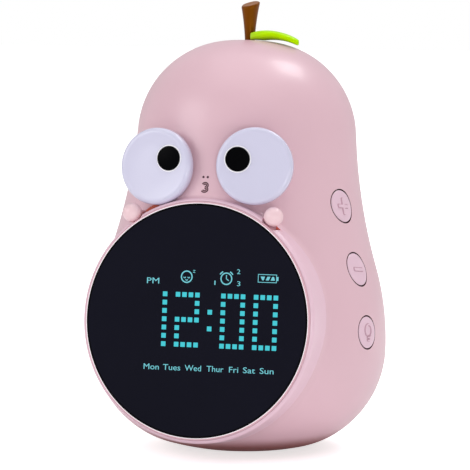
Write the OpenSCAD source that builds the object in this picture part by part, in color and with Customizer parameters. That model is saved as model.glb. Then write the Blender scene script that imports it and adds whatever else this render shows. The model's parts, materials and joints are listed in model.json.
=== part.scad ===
// Pear-shaped desk clock for a child's room: two moulded shells that lean back on
// a flat foot, a round display in a raised boss, two glowing eyes, two hands, a
// stem with a leaf, and three sprung buttons on the side.
// Frame: +Z up, the display faces -Y, the buttons are on +X. The origin is the
// centre of the foot's underside. Most pieces are drawn in the pear's own frame,
// whose Z runs up the pear's axis, and lean() turns that frame back into place.

/* [Pear body] */
// Height of the pear along its own axis, without the stem
body_h = 148; // [145:0.5:151]
// Backward lean of the pear's axis, in degrees
lean_angle = 6.6; // [5.5:0.1:7.5]
// Greatest radius of the head
head_r = 39.6; // [39:0.1:40.4]
// Radius of the rounding between the head's side and its crown
shoulder_r = 34.5; // [33.5:0.1:35.5]
// Radius of the flatter crown
crown_r = 100; // [85:1:120]
// Greatest radius of the belly
belly_r = 53.1; // [52.4:0.1:54]
// Height of the widest place of the belly
belly_z = 38.5; // [37.5:0.1:39.5]
// Radius of the side above the widest place of the belly
side_r = 97; // [90:1:104]
// Radius of the hollow side at the waist
waist_r = 200; // [180:1:220]
// Radius of the slightly rounded sole
sole_r = 110; // [105:1:115]
// Radius of the flat that the sole stands on
flat_r = 21; // [20:0.1:22]
// Wall of the housing
wall = 2.2; // [2:0.1:2.5]
// Thickness of the floor over the flat
floor_t = 2.4; // [2:0.1:3]

/* [Shell parting] */
// Distance of the parting plane behind the pear's axis
split_y = 20; // [19.5:0.1:21]
// Height at which the rear cover ends above the sole
cover_z = 9; // [8.5:0.1:10]
// How far the cover's lip reaches into the front shell
lip_l = 2; // [1.5:0.1:2.5]
// Thickness of the cover's lip
lip_t = 1; // [0.8:0.1:1.2]
// Distance of the cover screws from the inside of the wall
screw_in = 6.6; // [6.4:0.1:7]
// Height of the lower cover screws
low_screw_z = 25; // [24:0.1:26]
// Distance of the upper cover screws below the middle of the head
top_screw_down = 1.3; // [0.5:0.1:2.5]
// Radius of the posts for the cover screws
post_r = 3.2; // [3:0.1:3.4]

/* [Display] */
// Height of the boss's lowest place above the sole
boss_low = 3.1; // [2.8:0.1:3.5]
// How far the lens face lies behind the belly's greatest radius
lens_set = 6.6; // [6:0.1:7]
// How far the lens's edge lies inside the belly's greatest radius
lens_margin = 12.2; // [12.2:0.1:12.6]
// Thickness of the lens
lens_t = 1.5; // [1.2:0.1:1.8]
// Width of the rim that shows round the lens
rim_w = 0.5; // [0.4:0.1:0.6]
// Width of the groove between the rim and the boss
groove_w = 0.5; // [0.4:0.1:0.6]
// Wall of the boss round the display
boss_wall = 1.1; // [1:0.05:1.2]
// How far the boss's foremost place would lie behind the lens face
boss_inset = 0.3; // [0.2:0.1:0.6]
// Rounding of the boss's outer edge
boss_edge = 2.6; // [2.2:0.1:3]
// Thickness of the reflector grid
grid_t = 5; // [4:0.1:5.2]
// Sideways offset of the digits from the lens's centre
digits_x = 4.65; // [4:0.05:5]
// Distance between neighbouring columns of dots
dot_pitch_x = 2.41; // [2.3:0.01:2.5]
// Distance between neighbouring rows of dots
dot_pitch_z = 2.91; // [2.7:0.01:3]
// Width of a dot's window
dot_w = 1.7; // [1.5:0.05:1.9]
// Height of a dot's window
dot_h = 1.8; // [1.5:0.05:2]

/* [Eyes and hands] */
// Distance of an eye's centre from the middle
eye_x = 18.1; // [17.8:0.1:18.6]
// Gap between an eye and the shell in front of which it sits
eye_gap = 0.15; // [0.15:0.05:0.4]
// How much higher the right eye sits than the left one
eye_step = 0.9; // [0:0.1:1]
// Radius of an eye
eye_r = 13.6; // [13.3:0.1:13.7]
// Thickness of an eye
eye_t = 3.6; // [3.2:0.1:4]
// Outward turn of each eye, in degrees
eye_yaw = 8; // [7:0.1:9.5]
// Turn of both eyes towards the buttons' side, in degrees
eye_turn = 2.5; // [0:0.1:3]
// Radius of the rounded edge of an eye
eye_edge = 1.6; // [1.4:0.1:1.8]
// Radius of a pupil
pupil_r = 4.3; // [4:0.1:4.5]
// Inward offset of a pupil from its eye's centre
pupil_in = 5.65; // [5:0.05:6]
// Upward offset of a pupil from its eye's centre
pupil_up = 2.4; // [2:0.1:3]
// Radius of the socket behind each eye
socket_r = 10; // [9.8:0.1:10.2]
// Radius of a hand
hand_r = 3.4; // [3.1:0.1:3.5]
// Place of a hand round the boss, in degrees from its top
hand_turn = 35.3; // [34.9:0.1:35.9]
// Distance of a hand's centre outside the boss
hand_out = 2.5; // [2.4:0.1:3]
// Distance of a hand's centre behind the boss's foremost place
hand_back = 2.4; // [2:0.1:3]

/* [Stem and leaf] */
// Height of the stem's slanted end above the crown, on the axis
stem_h = 13.4; // [12.5:0.1:14]
// Radius of the stem where it leaves the crown
stem_r = 1.8; // [1.7:0.05:2]
// Radius of the stem at its upper end
stem_top_r = 3.75; // [3.5:0.05:3.9]
// Sideways place of the stem
stem_x = -0.3; // [-0.4:0.1:0]
// Forward tilt of the stem from the pear's axis, in degrees
stem_tilt = 5; // [0:0.5:6.5]
// Slant of the stem's upper end, in degrees
stem_slope = 23; // [15:1:28]
// Length of the leaf
leaf_l = 19.6; // [18:0.1:20]
// Width of the leaf
leaf_w = 9.5; // [8:0.1:11]
// Thickness of the leaf in its middle
leaf_t = 3.3; // [2.9:0.1:3.4]
// Height of the leaf's upper side above the crown
leaf_top = 3.5; // [3.4:0.1:3.7]
// Radius of the leaf's arch
leaf_arch = 22.5; // [21.5:0.1:24]

/* [Buttons] */
// Height of the upper button
button_z = 88.6; // [88:0.1:89]
// Distance between neighbouring buttons
button_pitch = 22.2; // [21.5:0.1:22.5]
// Distance of the upper button in front of the pear's axis
button_y = 12.6; // [12:0.1:12.8]
// How much further back each lower button sits
button_back = 0.9; // [0.7:0.05:1]
// Radius of a button
button_r = 5.65; // [5.5:0.05:5.8]
// Gap round a button in its sleeve
button_gap = 0.45; // [0.35:0.01:0.5]
// How far a button's face stands out of the pear
button_proud = 0.25; // [0.1:0.05:0.5]
// Travel of a button
button_travel = 0.6; // [0.4:0.05:0.8]

/* [Inside] */
// Radius of the battery cell
cell_r = 9.2; // [9:0.1:9.3]
// Gap between the battery cell's ends and the posts of the rear cover
cell_gap = 1.6; // [1.4:0.1:2.5]
// Radius of the base weight
weight_r = 14.8; // [14:0.1:15.5]
// Thickness of the base weight
weight_t = 5; // [4:0.1:6]
// Radius of the rubber foot
pad_r = 18; // [17:0.1:18.5]
// How far the rubber foot stands out of the sole
pad_out = 0.5; // [0.4:0.05:0.8]
// Depth of the rubber foot in the sole
pad_in = 0.6; // [0.4:0.05:0.8]
// Radius of the loudspeaker
speaker_r = 14; // [13.5:0.1:14.5]
// Height of the loudspeaker
speaker_z = 62; // [61:0.1:63]
// Height of the charging socket
usb_z = 24; // [23:0.1:25]
// Thickness of the circuit boards
board_t = 1.6; // [1.2:0.1:1.6]

/* [Hidden] */

$fn = 64;
BIG = 200;                    // larger than the whole clock
EPS = 0.01;                   // overlap of pieces that are joined
FIT = 0.05;                   // gap of pieces that are pressed or glued together
PINK = [0.91, 0.74, 0.78];
PALE_PINK = [0.95, 0.82, 0.85];
EYE_WHITE = [0.90, 0.90, 0.96];
BLACK = [0.05, 0.05, 0.06];
BOARD_GREEN = [0.10, 0.35, 0.20];
STEEL = [0.70, 0.70, 0.72];

// ---- Outline of the pear -------------------------------------------------
// Six arcs that touch without a corner, from the sole to the crown. An arc is
// [centre x, centre z, radius, growth, start angle, end angle]; growth is -1 on
// the hollow waist, whose radius shrinks when the surface moves outwards.
shoulder_c = [
    head_r - shoulder_r,
    body_h - crown_r + sqrt(pow(crown_r - shoulder_r, 2) - pow(head_r - shoulder_r, 2))
];
crown_c = [0, body_h - crown_r];
side_c = [belly_r - side_r, belly_z];
waist_c = outside_touch(shoulder_c, shoulder_r + waist_r, side_c, side_r + waist_r);
sole_z = (pad_out + sqrt(pow(sole_r, 2) - pow(flat_r, 2))) / cos(lean_angle);
sole_c = [0, sole_z];
low_r = (pow(sole_r, 2) - pow(belly_r, 2) - pow(sole_z - belly_z, 2)) / (2 * (sole_r - belly_r));
low_c = [belly_r - low_r, belly_z];
ARCS = [
    [sole_c.x, sole_c.y, sole_r, 1, -90, angle_to(sole_c, low_c)],
    [low_c.x, low_c.y, low_r, 1, angle_to(sole_c, low_c), 0],
    [side_c.x, side_c.y, side_r, 1, 0, angle_to(side_c, waist_c)],
    [waist_c.x, waist_c.y, waist_r, -1, full_angle_to(waist_c, side_c),
        full_angle_to(waist_c, shoulder_c)],
    [shoulder_c.x, shoulder_c.y, shoulder_r, 1, angle_to(shoulder_c, waist_c),
        angle_to(crown_c, shoulder_c)],
    [crown_c.x, crown_c.y, crown_r, 1, angle_to(crown_c, shoulder_c), 90]
];
ARC_STEPS = [5, 14, 6, 6, 16, 3];

function angle_to(from, to) = atan2(to.y - from.y, to.x - from.x);
function full_angle_to(from, to) =
    let (a = angle_to(from, to))
    a < 0 ? a + 360 : a;

// Centre that lies at the distance ra from a and rb from b, on the outer side.
function outside_touch(a, ra, b, rb) =
    let (d = b - a, l = norm(d), u = d / l)
    let (along = (ra * ra - rb * rb + l * l) / (2 * l))
    a + u * along + [-u.y, u.x] * sqrt(ra * ra - along * along);

function arc_point(arc, grow, t) =
    let (r = arc[2] + arc[3] * grow)
    [arc[0] + r * cos(t), arc[1] + r * sin(t)];

function arc_points(i, grow) = [
    for (k = [0 : ARC_STEPS[i] - 1])
        arc_point(ARCS[i], grow, ARCS[i][4] + (ARCS[i][5] - ARCS[i][4]) * k / ARC_STEPS[i])
];

function pear_outline(grow) = concat(
    [[0, sole_z - sole_r - grow]],
    [for (i = [0 : len(ARCS) - 1]) for (p = arc_points(i, grow)) if (p.x > EPS) p],
    [[0, body_h + grow]]
);

// Radius of the pear, grown by the given distance, at a height on its axis.
function pear_r(z, grow = 0) =
    let (i = arc_at(z, grow))
    let (r = ARCS[i][2] + ARCS[i][3] * grow)
    ARCS[i][0] + ARCS[i][3] * sqrt(r * r - pow(z - ARCS[i][1], 2));

function arc_at(z, grow, i = 0) =
    i == len(ARCS) - 1 || z <= arc_point(ARCS[i], grow, ARCS[i][5]).y
        ? i : arc_at(z, grow, i + 1);

// Distance from the axis plane to the pear's surface at a sideways place.
function surface_y(x, z, grow = 0) = sqrt(pow(pear_r(z, grow), 2) - x * x);

module pear(grow) {
    rotate_extrude($fn = 96) polygon(pear_outline(grow));
}

// ---- Frames ----------------------------------------------------------------
foot_back = sole_z * sin(lean_angle);

// From the pear's frame to the clock's frame, and back.
module lean() {
    translate([0, -foot_back, 0]) rotate([-lean_angle, 0, 0]) children();
}
module unlean() {
    rotate([lean_angle, 0, 0]) translate([0, foot_back, 0]) children();
}

// All of the space under a level plane, in the pear's frame.
module below_level(z) {
    unlean() translate([-BIG / 2, -BIG / 2, z - BIG]) cube(BIG);
}

// Local +Z points forwards out of the display, from the pear's axis.
module display_frame() {
    translate([0, 0, display_z]) rotate([90, 0, 0]) children();
}

// Local +Z points out of an eye, from the middle of its thickness.
module eye_frame(side) {
    translate([side * eye_x, -eye_front(side), eye_z(side)]) rotate([0, 0, eye_angle(side)])
        rotate([90, 0, 0]) children();
}

// Local +Z points out of the housing along +X, from the axis plane.
module button_frame(i) {
    translate([0, -button_front(i), button_z - i * button_pitch]) rotate([0, 90, 0]) children();
}
function button_front(i) = button_y - i * button_back;

module ring(inner, outer, h) {
    difference() {
        cylinder(r = outer, h = h);
        translate([0, 0, -1]) cylinder(r = inner, h = h + 2);
    }
}

// Screw with a round head; its head's underside is at z = 0, the shank goes down.
module screw(shank_r, shank_l, head_r, head_h) {
    translate([0, 0, -shank_l]) cylinder(r = shank_r, h = shank_l + EPS, $fn = 24);
    difference() {
        cylinder(r = head_r, h = head_h, $fn = 32);
        translate([-head_r, -SLOT_W / 2, head_h / 2]) cube([2 * head_r, SLOT_W, head_h]);
        translate([-SLOT_W / 2, -head_r, head_h / 2]) cube([SLOT_W, 2 * head_r, head_h]);
    }
}
SLOT_W = 0.6;

// ---- Display sizes ----------------------------------------------------------
lens_r = belly_r - lens_margin;
lens_front = belly_r - lens_set;
rim_r = lens_r + rim_w;
bore_r = rim_r + groove_w;
boss_r = bore_r + boss_wall;
display_z = boss_r + boss_low;
boss_front = lens_front - boss_inset;
boss_root = 2;                           // how far the boss runs on inside the belly
boss_back = surface_y(boss_r, display_z, -wall) - boss_root;
groove_depth = 0.6;                      // depth of the groove under the lens face
lens_back = lens_front - lens_t;
seat_r = lens_r - 2.3;                   // inside of the seat under the lens
seat_t = 1;
grid_front = lens_back - seat_t;
grid_back = grid_front - grid_t;
grid_r = lens_r - 1.5;
pcb_r = seat_r - 0.4;
pcb_back = grid_back - board_t;
ledge_r = pcb_r + 0.3;
ledge_t = 2;
ledge_front = grid_back - 1;
ledge_back = ledge_front - ledge_t;
carrier_t = 1.6;
carrier_back = ledge_back - carrier_t;
carrier_screw_at = (ledge_r + bore_r) / 2;
small_shank = 0.9;
small_hole = 0.95;
small_head = 1.7;
small_head_h = 1.2;
screw_bite = board_t * 2.5;              // how far a board's screw goes into its post
screw_hole_l = screw_bite + 3;           // cut from 1 mm in front of the post
board_margin = 8;                        // of the button board round the outer buttons
main_gap = 2.95;                         // between the button board and the main board
main_front = button_front(1) + board_margin + board_t + main_gap;
main_post_x = 30;
main_post_z = 18;
main_post_r = 2.4;
DIGIT_START = [-10, -5, 2, 7];           // first column of each digit, from the colon
DIGIT_COLS = 4;
DIGIT_ROWS = 7;
DIGIT_MID = 3;
ROW_SHIFT = dot_pitch_z * 0.07;          // the digits sit a little above the centre

// A dot is lit by a window in the outline of an eight, or in the colon.
function is_window(col, row) =
    col == 0 || col == DIGIT_COLS - 1 || row == 0 || row == DIGIT_MID || row == DIGIT_ROWS - 1;
WINDOWS = concat(
    [for (start = DIGIT_START) for (col = [0 : DIGIT_COLS - 1]) for (row = [0 : DIGIT_ROWS - 1])
        if (is_window(col, row)) dot_place(start + col, row)],
    [for (row = [DIGIT_MID - 1, DIGIT_MID + 1]) dot_place(0, row)]
);
function dot_place(col, row) =
    [digits_x + col * dot_pitch_x, ROW_SHIFT + (DIGIT_MID - row) * dot_pitch_z];

// ---- Shells -----------------------------------------------------------------
// Space that belongs to the rear cover, in the pear's frame.
module cover_space(gap = 0) {
    translate([-BIG / 2, split_y + gap, cover_z + gap]) cube(BIG);
}
top_screw_z = shoulder_c.y - top_screw_down;
COVER_SCREWS = [
    for (z = [low_screw_z, top_screw_z]) for (side = [1, -1])
        [side * (surface_y(split_y, z, -wall) - screw_in), z]
];
cover_web = 2;                           // cover left under a screw's head
cover_shank = 1.2;
cover_hole = 1.25;
cover_head = 2.4;
cover_head_h = 1.4;
cover_post_l = 12;

module at_cover_screws(y) {
    for (p = COVER_SCREWS) translate([p.x, y, p.y]) rotate([-90, 0, 0]) children();
}

// Posts of the front shell, each with a rib that runs out to the wall.
rib_t = 1.6;
module cover_posts(grow) {
    at_cover_screws(split_y - cover_post_l) cylinder(r = post_r + grow, h = cover_post_l);
    for (p = COVER_SCREWS)
        translate([p.x + (p.x < 0 ? -BIG / 10 : 0), split_y - cover_post_l, p.y - rib_t / 2 - grow])
            cube([BIG / 10, cover_post_l, rib_t + 2 * grow]);
}

socket_wall = 1.5;
socket_l = 13;
socket_seat = 6;                         // depth of the light board in its socket
spigot_l = 2.5;
light_r = socket_r - socket_wall - 0.2;
light_t = 1.2;

module eye_socket_outside() {
    for (side = [-1, 1])
        eye_frame(side) translate([0, 0, -eye_t / 2 - socket_l])
            cylinder(r = socket_r, h = socket_l);
}

module eye_socket_inside() {
    for (side = [-1, 1]) eye_frame(side) {
        translate([0, 0, -eye_t / 2 - socket_seat])
            cylinder(r = socket_r - socket_wall, h = socket_seat + EPS);
        translate([0, 0, -eye_t / 2 - socket_l - 2])
            cylinder(r = socket_r - 2 * socket_wall, h = socket_l);
    }
}

// The left eye clears the boss by the gap, the right eye sits a step higher.
function eye_z(side) =
    display_z + sqrt(pow(boss_r + eye_gap + eye_r, 2) - eye_x * eye_x)
        + (side > 0 ? eye_step : 0);

// Middle plane of an eye: the whole rim of its back clears the curved shell.
function eye_front(side) =
    let (turn = eye_angle(side), back_x = side * eye_x - eye_t / 2 * sin(turn))
    max([for (a = [0 : 10 : 350])
        surface_y(back_x + eye_r * cos(a) * cos(turn), eye_z(side) + eye_r * sin(a))
            + eye_r * cos(a) * sin(turn)]) + eye_gap + eye_t / 2 * cos(turn);
function eye_angle(side) = side * eye_yaw + eye_turn;

// The boss is a tube that runs from its front edge back into the belly.
module boss() {
    display_frame() rotate_extrude($fn = 96) polygon(concat(
        [[0, boss_back], [boss_r, boss_back]],
        [for (t = [0 : 15 : 90])
            [boss_r - boss_edge + boss_edge * cos(t), boss_front - boss_edge + boss_edge * sin(t)]],
        [[0, boss_front]]
    ));
}

module display_ledge() {
    display_frame() difference() {
        translate([0, 0, ledge_back]) ring(ledge_r, bore_r + EPS, ledge_t);
        at_carrier_screws(ledge_back - 1) cylinder(r = small_hole, h = ledge_t + 2, $fn = 24);
    }
}

module at_carrier_screws(z) {
    for (a = [45 : 90 : 315]) rotate([0, 0, a]) translate([carrier_screw_at, 0, z]) children();
}

hand_x = (boss_r + hand_out) * sin(hand_turn);
hand_z = display_z + (boss_r + hand_out) * cos(hand_turn);
hand_front = boss_front - hand_back;
hand_peg_r = 1.2;
hand_peg_turn = 15;                      // inward slant of a hand's peg
hand_peg_in = 3;                         // about how far the peg's end lies inwards
hand_peg_l = (hand_front - surface_y(hand_x - hand_peg_in, hand_z, -wall) + 1) / cos(hand_peg_turn);
hand_notch_r = hand_r + 1.4;
hand_notch_l = 5;

// Centre of one hand; local +Z runs back along its peg.
module hand_frame(side) {
    translate([side * hand_x, -hand_front, hand_z]) rotate([0, 0, side * hand_peg_turn])
        rotate([-90, 0, 0]) children();
}

sleeve_r = 8.2;
flange_r = 7.6;
flange_t = 1.2;
flange_gap = 0.3;
// Inner end of a button's sleeve: the whole flange clears the curved wall there.
function sleeve_x(i) =
    let (z = button_z - i * button_pitch)
    let (r = min(pear_r(z + sleeve_r, -wall), pear_r(z - sleeve_r, -wall)))
    sqrt(r * r - pow(button_front(i) + sleeve_r, 2)) - 0.2;
button_board_x = 24;
switch_h = 3.4;
switch_size = 6;
plunger_h = 0.9;
plunger_r = 1.7;
button_post_r = 1.6;
board_post_r = 2.6;
BOARD_POSTS = [0.5, 1.5];                // between the buttons, in pitches

stem_hole_r = stem_r + 0.15;
leaf_x = 0.5;                            // start of the leaf beside the stem
leaf_y = -3.3;                           // the leaf lies in front of the stem
leaf_peg_x = leaf_x + 3.4;               // place of the leaf's peg on the crown
leaf_peg_r = 0.9;

module sleeves_and_posts() {
    intersection() {
        pear(-wall / 2);
        union() {
            for (i = [0 : 2]) button_frame(i) translate([0, 0, sleeve_x(i)])
                cylinder(r = sleeve_r, h = BIG / 10);
            for (i = BOARD_POSTS) button_frame(i) translate([0, 0, button_board_x])
                cylinder(r = board_post_r, h = BIG / 5);
            cover_posts(0);
        }
    }
}

weight_post_x = 10.5;
weight_post_r = 2.5;
level_floor = pad_out + floor_t;

module front_shell() {
    color(PINK) lean() {
        difference() {
            union() {
                difference() {
                    pear(0);
                    difference() {
                        pear(-wall);
                        below_level(level_floor);
                    }
                }
                boss();
                eye_socket_outside();
                sleeves_and_posts();
                unlean() for (side = [-1, 1])
                    translate([side * weight_post_x, 0, level_floor - EPS])
                        cylinder(r = weight_post_r, h = weight_t);
            }
            cover_space();
            below_level(pad_out);
            unlean() cylinder(r = pad_r + 0.1, h = pad_out + pad_in);
            display_frame() translate([0, 0, boss_back - 1]) cylinder(r = bore_r, h = BIG / 2);
            eye_socket_inside();
            for (i = [0 : 2]) button_frame(i) translate([0, 0, button_board_x])
                cylinder(r = button_r + button_gap, h = BIG / 2);
            for (i = BOARD_POSTS) button_frame(i) translate([0, 0, button_board_x - 1])
                cylinder(r = small_hole, h = screw_hole_l, $fn = 24);
            at_cover_screws(split_y - cover_post_l + 1)
                cylinder(r = cover_hole, h = cover_post_l, $fn = 24);
            for (side = [-1, 1]) {
                translate([side * hand_x, hand_notch_l - hand_r + 2 - hand_front, hand_z])
                    rotate([90, 0, 0]) cylinder(r = hand_notch_r, h = BIG / 10);
                hand_frame(side) cylinder(r = hand_peg_r + FIT, h = hand_peg_l + 0.5, $fn = 24);
            }
            translate([stem_x, 0, body_h - 2 * wall]) cylinder(r = stem_hole_r, h = 3 * wall);
            translate([leaf_peg_x, leaf_y, body_h - 2 * wall])
                cylinder(r = leaf_peg_r + FIT, h = 3 * wall, $fn = 24);
            unlean() for (side = [-1, 1])
                translate([side * weight_post_x, 0, level_floor + 1])
                    cylinder(r = small_hole, h = weight_t, $fn = 24);
        }
        display_ledge();
    }
}

speaker_depth = 8;
speaker_front = surface_y(0, speaker_z + speaker_r, -wall) - 0.3;
speaker_ring_t = 1.5;
GRILLE_RINGS = 4;
grille_pitch = 3;
grille_hole_r = 0.8;
usb_w = 9;
usb_h = 3.3;
usb_l = 7.4;
usb_inset = 1.4;
usb_mouth = surface_y(0, usb_z) - usb_inset;
usb_board_w = 14;
usb_board_l = 11;
usb_board_t = 1.2;
usb_board_z = usb_z - usb_h / 2 - usb_board_t;
usb_board_end = surface_y(usb_board_w / 2, usb_board_z, -wall) - 0.3;
rail_w = 2;

// A slot with round ends, across x, along local +Z.
module usb_outline(grow) {
    for (side = [-1, 1]) translate([side * (usb_w - usb_h) / 2, 0])
        circle(r = usb_h / 2 + grow, $fn = 32);
    square([usb_w - usb_h, usb_h + 2 * grow], center = true);
}

module speaker_frame() {
    translate([0, 0, speaker_z]) rotate([-90, 0, 0]) children();
}

module grille_holes() {
    speaker_frame() for (k = [0 : GRILLE_RINGS - 1]) for (j = [0 : max(0, 6 * k - 1)])
        rotate([0, 0, k == 0 ? 0 : 60 * j / k]) translate([k * grille_pitch, 0, split_y])
            cylinder(r = grille_hole_r, h = BIG / 2, $fn = 16);
}

module cover_lip() {
    difference() {
        intersection() {
            difference() {
                union() {
                    intersection() {
                        pear(-wall + EPS);
                        translate([-BIG / 2, split_y, 0]) cube([BIG, lip_l, BIG]);
                    }
                    pear(-wall - FIT);
                }
                pear(-wall - FIT - lip_t);
            }
            translate([-BIG / 2, split_y - lip_l, cover_z]) cube([BIG, 2 * lip_l, BIG]);
        }
        cover_posts(0.3);
    }
}

module rear_cover() {
    color(PINK) lean() difference() {
        union() {
            intersection() {
                difference() {
                    pear(0);
                    pear(-wall);
                }
                cover_space();
            }
            cover_lip();
            intersection() {
                pear(-wall / 2);
                union() {
                    at_cover_screws(split_y) cylinder(r = post_r, h = BIG / 5);
                    speaker_frame() translate([0, 0, speaker_front - speaker_depth])
                        ring(speaker_r + 0.2, speaker_r + 0.2 + speaker_ring_t, BIG / 5);
                    for (side = [-1, 1])
                        translate([side * (usb_board_w / 2 - rail_w) - rail_w / 2,
                                usb_board_end - usb_board_l, cover_z + 1])
                            cube([rail_w, BIG / 5, usb_board_z - cover_z - 1]);
                }
            }
        }
        at_cover_screws(split_y - 1) cylinder(r = cover_shank + 0.2, h = BIG / 5, $fn = 24);
        at_cover_screws(split_y + cover_web) cylinder(r = cover_head + 0.2, h = BIG / 5, $fn = 32);
        grille_holes();
        translate([0, split_y, usb_z]) rotate([-90, 0, 0])
            linear_extrude(height = BIG / 5) usb_outline(0.25);
    }
}

module rear_screws() {
    color(STEEL) lean() at_cover_screws(split_y + cover_web)
        screw(cover_shank, cover_web + cover_post_l - 3, cover_head, cover_head_h);
}

// ---- Foot and weight ----------------------------------------------------------
pad_edge = 0.3;
module foot_pad() {
    color([0.25, 0.25, 0.27]) rotate_extrude($fn = 96) polygon([
        [0, 0], [pad_r - pad_edge, 0], [pad_r, pad_edge], [pad_r, pad_out + pad_in],
        [0, pad_out + pad_in]
    ]);
}

module base_weight() {
    color(STEEL) translate([0, 0, level_floor]) difference() {
        cylinder(r = weight_r, h = weight_t);
        for (side = [-1, 1]) translate([side * weight_post_x, 0, -1])
            cylinder(r = weight_post_r + 0.2, h = weight_t + 2);
    }
}

// ---- Display ------------------------------------------------------------------
lens_edge = 0.2;
module display_lens() {
    color(BLACK) lean() display_frame() rotate_extrude($fn = 96) polygon([
        [0, lens_back], [lens_r, lens_back], [lens_r, lens_front - lens_edge],
        [lens_r - lens_edge, lens_front], [0, lens_front]
    ]);
}

module display_bezel() {
    color(PALE_PINK) lean() display_frame() rotate_extrude($fn = 96) polygon([
        [grid_r + 0.1, ledge_front], [bore_r - 0.1, ledge_front],
        [bore_r - 0.1, lens_front - groove_depth], [rim_r, lens_front - groove_depth],
        [rim_r, lens_front - lens_edge],
        [rim_r - lens_edge, lens_front], [lens_r + FIT, lens_front], [lens_r + FIT, lens_back],
        [seat_r, lens_back], [seat_r, grid_front], [grid_r + 0.1, grid_front]
    ]);
}

module display_grid() {
    color([0.92, 0.92, 0.92]) lean() display_frame() difference() {
        translate([0, 0, grid_back]) cylinder(r = grid_r, h = grid_t);
        for (p = WINDOWS) translate([p.x - dot_w / 2, p.y - dot_h / 2, grid_back - 1])
            cube([dot_w, dot_h, grid_t + 2]);
    }
}

led_size = dot_w * 0.65;
led_t = dot_w * 0.4;
module display_leds() {
    color([0.35, 0.95, 0.90]) lean() display_frame() for (p = WINDOWS)
        translate([p.x - led_size / 2, p.y - led_size / 2, grid_back]) cube([led_size, led_size, led_t]);
}

module display_pcb() {
    color(BOARD_GREEN) lean() display_frame() translate([0, 0, pcb_back])
        cylinder(r = pcb_r, h = board_t);
}

carrier_hole_r = 28;
module display_carrier() {
    color([0.85, 0.85, 0.87]) lean() display_frame() difference() {
        union() {
            translate([0, 0, carrier_back]) ring(carrier_hole_r, bore_r - 0.6, carrier_t);
            translate([0, 0, ledge_back - EPS])
                ring(pcb_r - 3, pcb_r - 0.4, pcb_back - ledge_back + EPS);
            at_main_posts(main_front) cylinder(r = main_post_r, h = carrier_back - main_front + EPS);
        }
        at_carrier_screws(carrier_back - 1) cylinder(r = small_hole, h = carrier_t + 2, $fn = 24);
        at_main_posts(main_front - 1) cylinder(r = small_hole, h = screw_hole_l, $fn = 24);
    }
}

module at_main_posts(z) {
    for (sx = [-1, 1]) for (sz = [-1, 1])
        translate([sx * main_post_x, sz * main_post_z, z]) children();
}

module carrier_screws() {
    color(STEEL) lean() display_frame() at_carrier_screws(carrier_back) rotate([180, 0, 0])
        screw(small_shank, carrier_t + ledge_t, small_head, small_head_h);
}

main_w = 66;
main_h = 42;
module main_pcb() {
    color(BOARD_GREEN) lean() display_frame() difference() {
        translate([-main_w / 2, -main_h / 2, main_front - board_t]) cube([main_w, main_h, board_t]);
        at_main_posts(main_front - board_t - 1) cylinder(r = small_hole, h = board_t + 2, $fn = 24);
    }
}

// Chips on the back of the main board: [x, z, width, height, thickness].
CHIPS = [[-12, 4, 12, 12, 1.2], [8, 10, 8, 5, 1.2], [6, -8, 6, 6, 1.8], [-12, -13, 5, 4, 1.2]];
module main_chips() {
    color(BLACK) lean() display_frame() for (c = CHIPS)
        translate([c[0] - c[2] / 2, c[1] - c[3] / 2, main_front - board_t - c[4]])
            cube([c[2], c[3], c[4]]);
}

module main_screws() {
    color(STEEL) lean() display_frame() at_main_posts(main_front - board_t) rotate([180, 0, 0])
        screw(small_shank, board_t + screw_bite, small_head, small_head_h);
}

// ---- Eyes ----------------------------------------------------------------------
pupil_seat = 0.5;
pupil_t = 1;
pupil_level = 0.3;                       // brings the pupils to almost the same height
module pupil_place(side, z) {
    translate([-side * pupil_in, pupil_up - side * pupil_level, z]) children();
}

module eye(side) {
    spigot_r = socket_r - socket_wall - 0.2;
    color(EYE_WHITE) lean() eye_frame(side) difference() {
        rotate_extrude($fn = 96) polygon(concat(
            [[0, -eye_t / 2], [spigot_r - 1, -eye_t / 2], [spigot_r - 1, -eye_t / 2 - spigot_l],
                [spigot_r, -eye_t / 2 - spigot_l], [spigot_r, -eye_t / 2], [eye_r, -eye_t / 2]],
            [for (t = [0 : 15 : 90])
                [eye_r - eye_edge + eye_edge * cos(t), eye_t / 2 - eye_edge + eye_edge * sin(t)]],
            [[0, eye_t / 2]]
        ));
        pupil_place(side, eye_t / 2 - pupil_seat) cylinder(r = pupil_r + FIT, h = 2);
    }
}

module pupil(side) {
    edge = 0.3;
    color(BLACK) lean() eye_frame(side) pupil_place(side, eye_t / 2 - pupil_seat)
        rotate_extrude() polygon([
            [0, 0], [pupil_r, 0], [pupil_r, pupil_t - edge], [pupil_r - edge, pupil_t], [0, pupil_t]
        ]);
}

LAMP_SPOTS = [90, 210, 330];
module eye_light(side) {
    lamp = 2;
    color([0.95, 0.95, 0.85]) lean() eye_frame(side)
        translate([0, 0, -eye_t / 2 - socket_seat]) union() {
            cylinder(r = light_r, h = light_t);
            for (a = LAMP_SPOTS) rotate([0, 0, a]) translate([light_r / 2, 0, light_t - EPS])
                translate([-lamp / 2, -lamp / 2, 0]) cube([lamp, lamp, 0.8]);
        }
}

// ---- Hands, stem and leaf --------------------------------------------------------
module hand(side) {
    color(PINK) lean() hand_frame(side) union() {
        sphere(r = hand_r);
        cylinder(r = hand_peg_r, h = hand_peg_l, $fn = 24);
    }
}

stem_flange_r = 4;
stem_flange_t = 1.2;
stem_slope_turn = -112;                  // the slanted end looks forwards and a little left
stem_sink = 0.5;                         // how far the tilted stem runs into its hole
stem_shank_r = stem_r - 0.2;
STEM_STEPS = 8;

// Radius of the stem at a part of its height: straight at first, then a curved flare.
function stem_flare(t) = stem_r + (stem_top_r - stem_r) * (0.35 * t + 0.65 * t * t);

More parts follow.
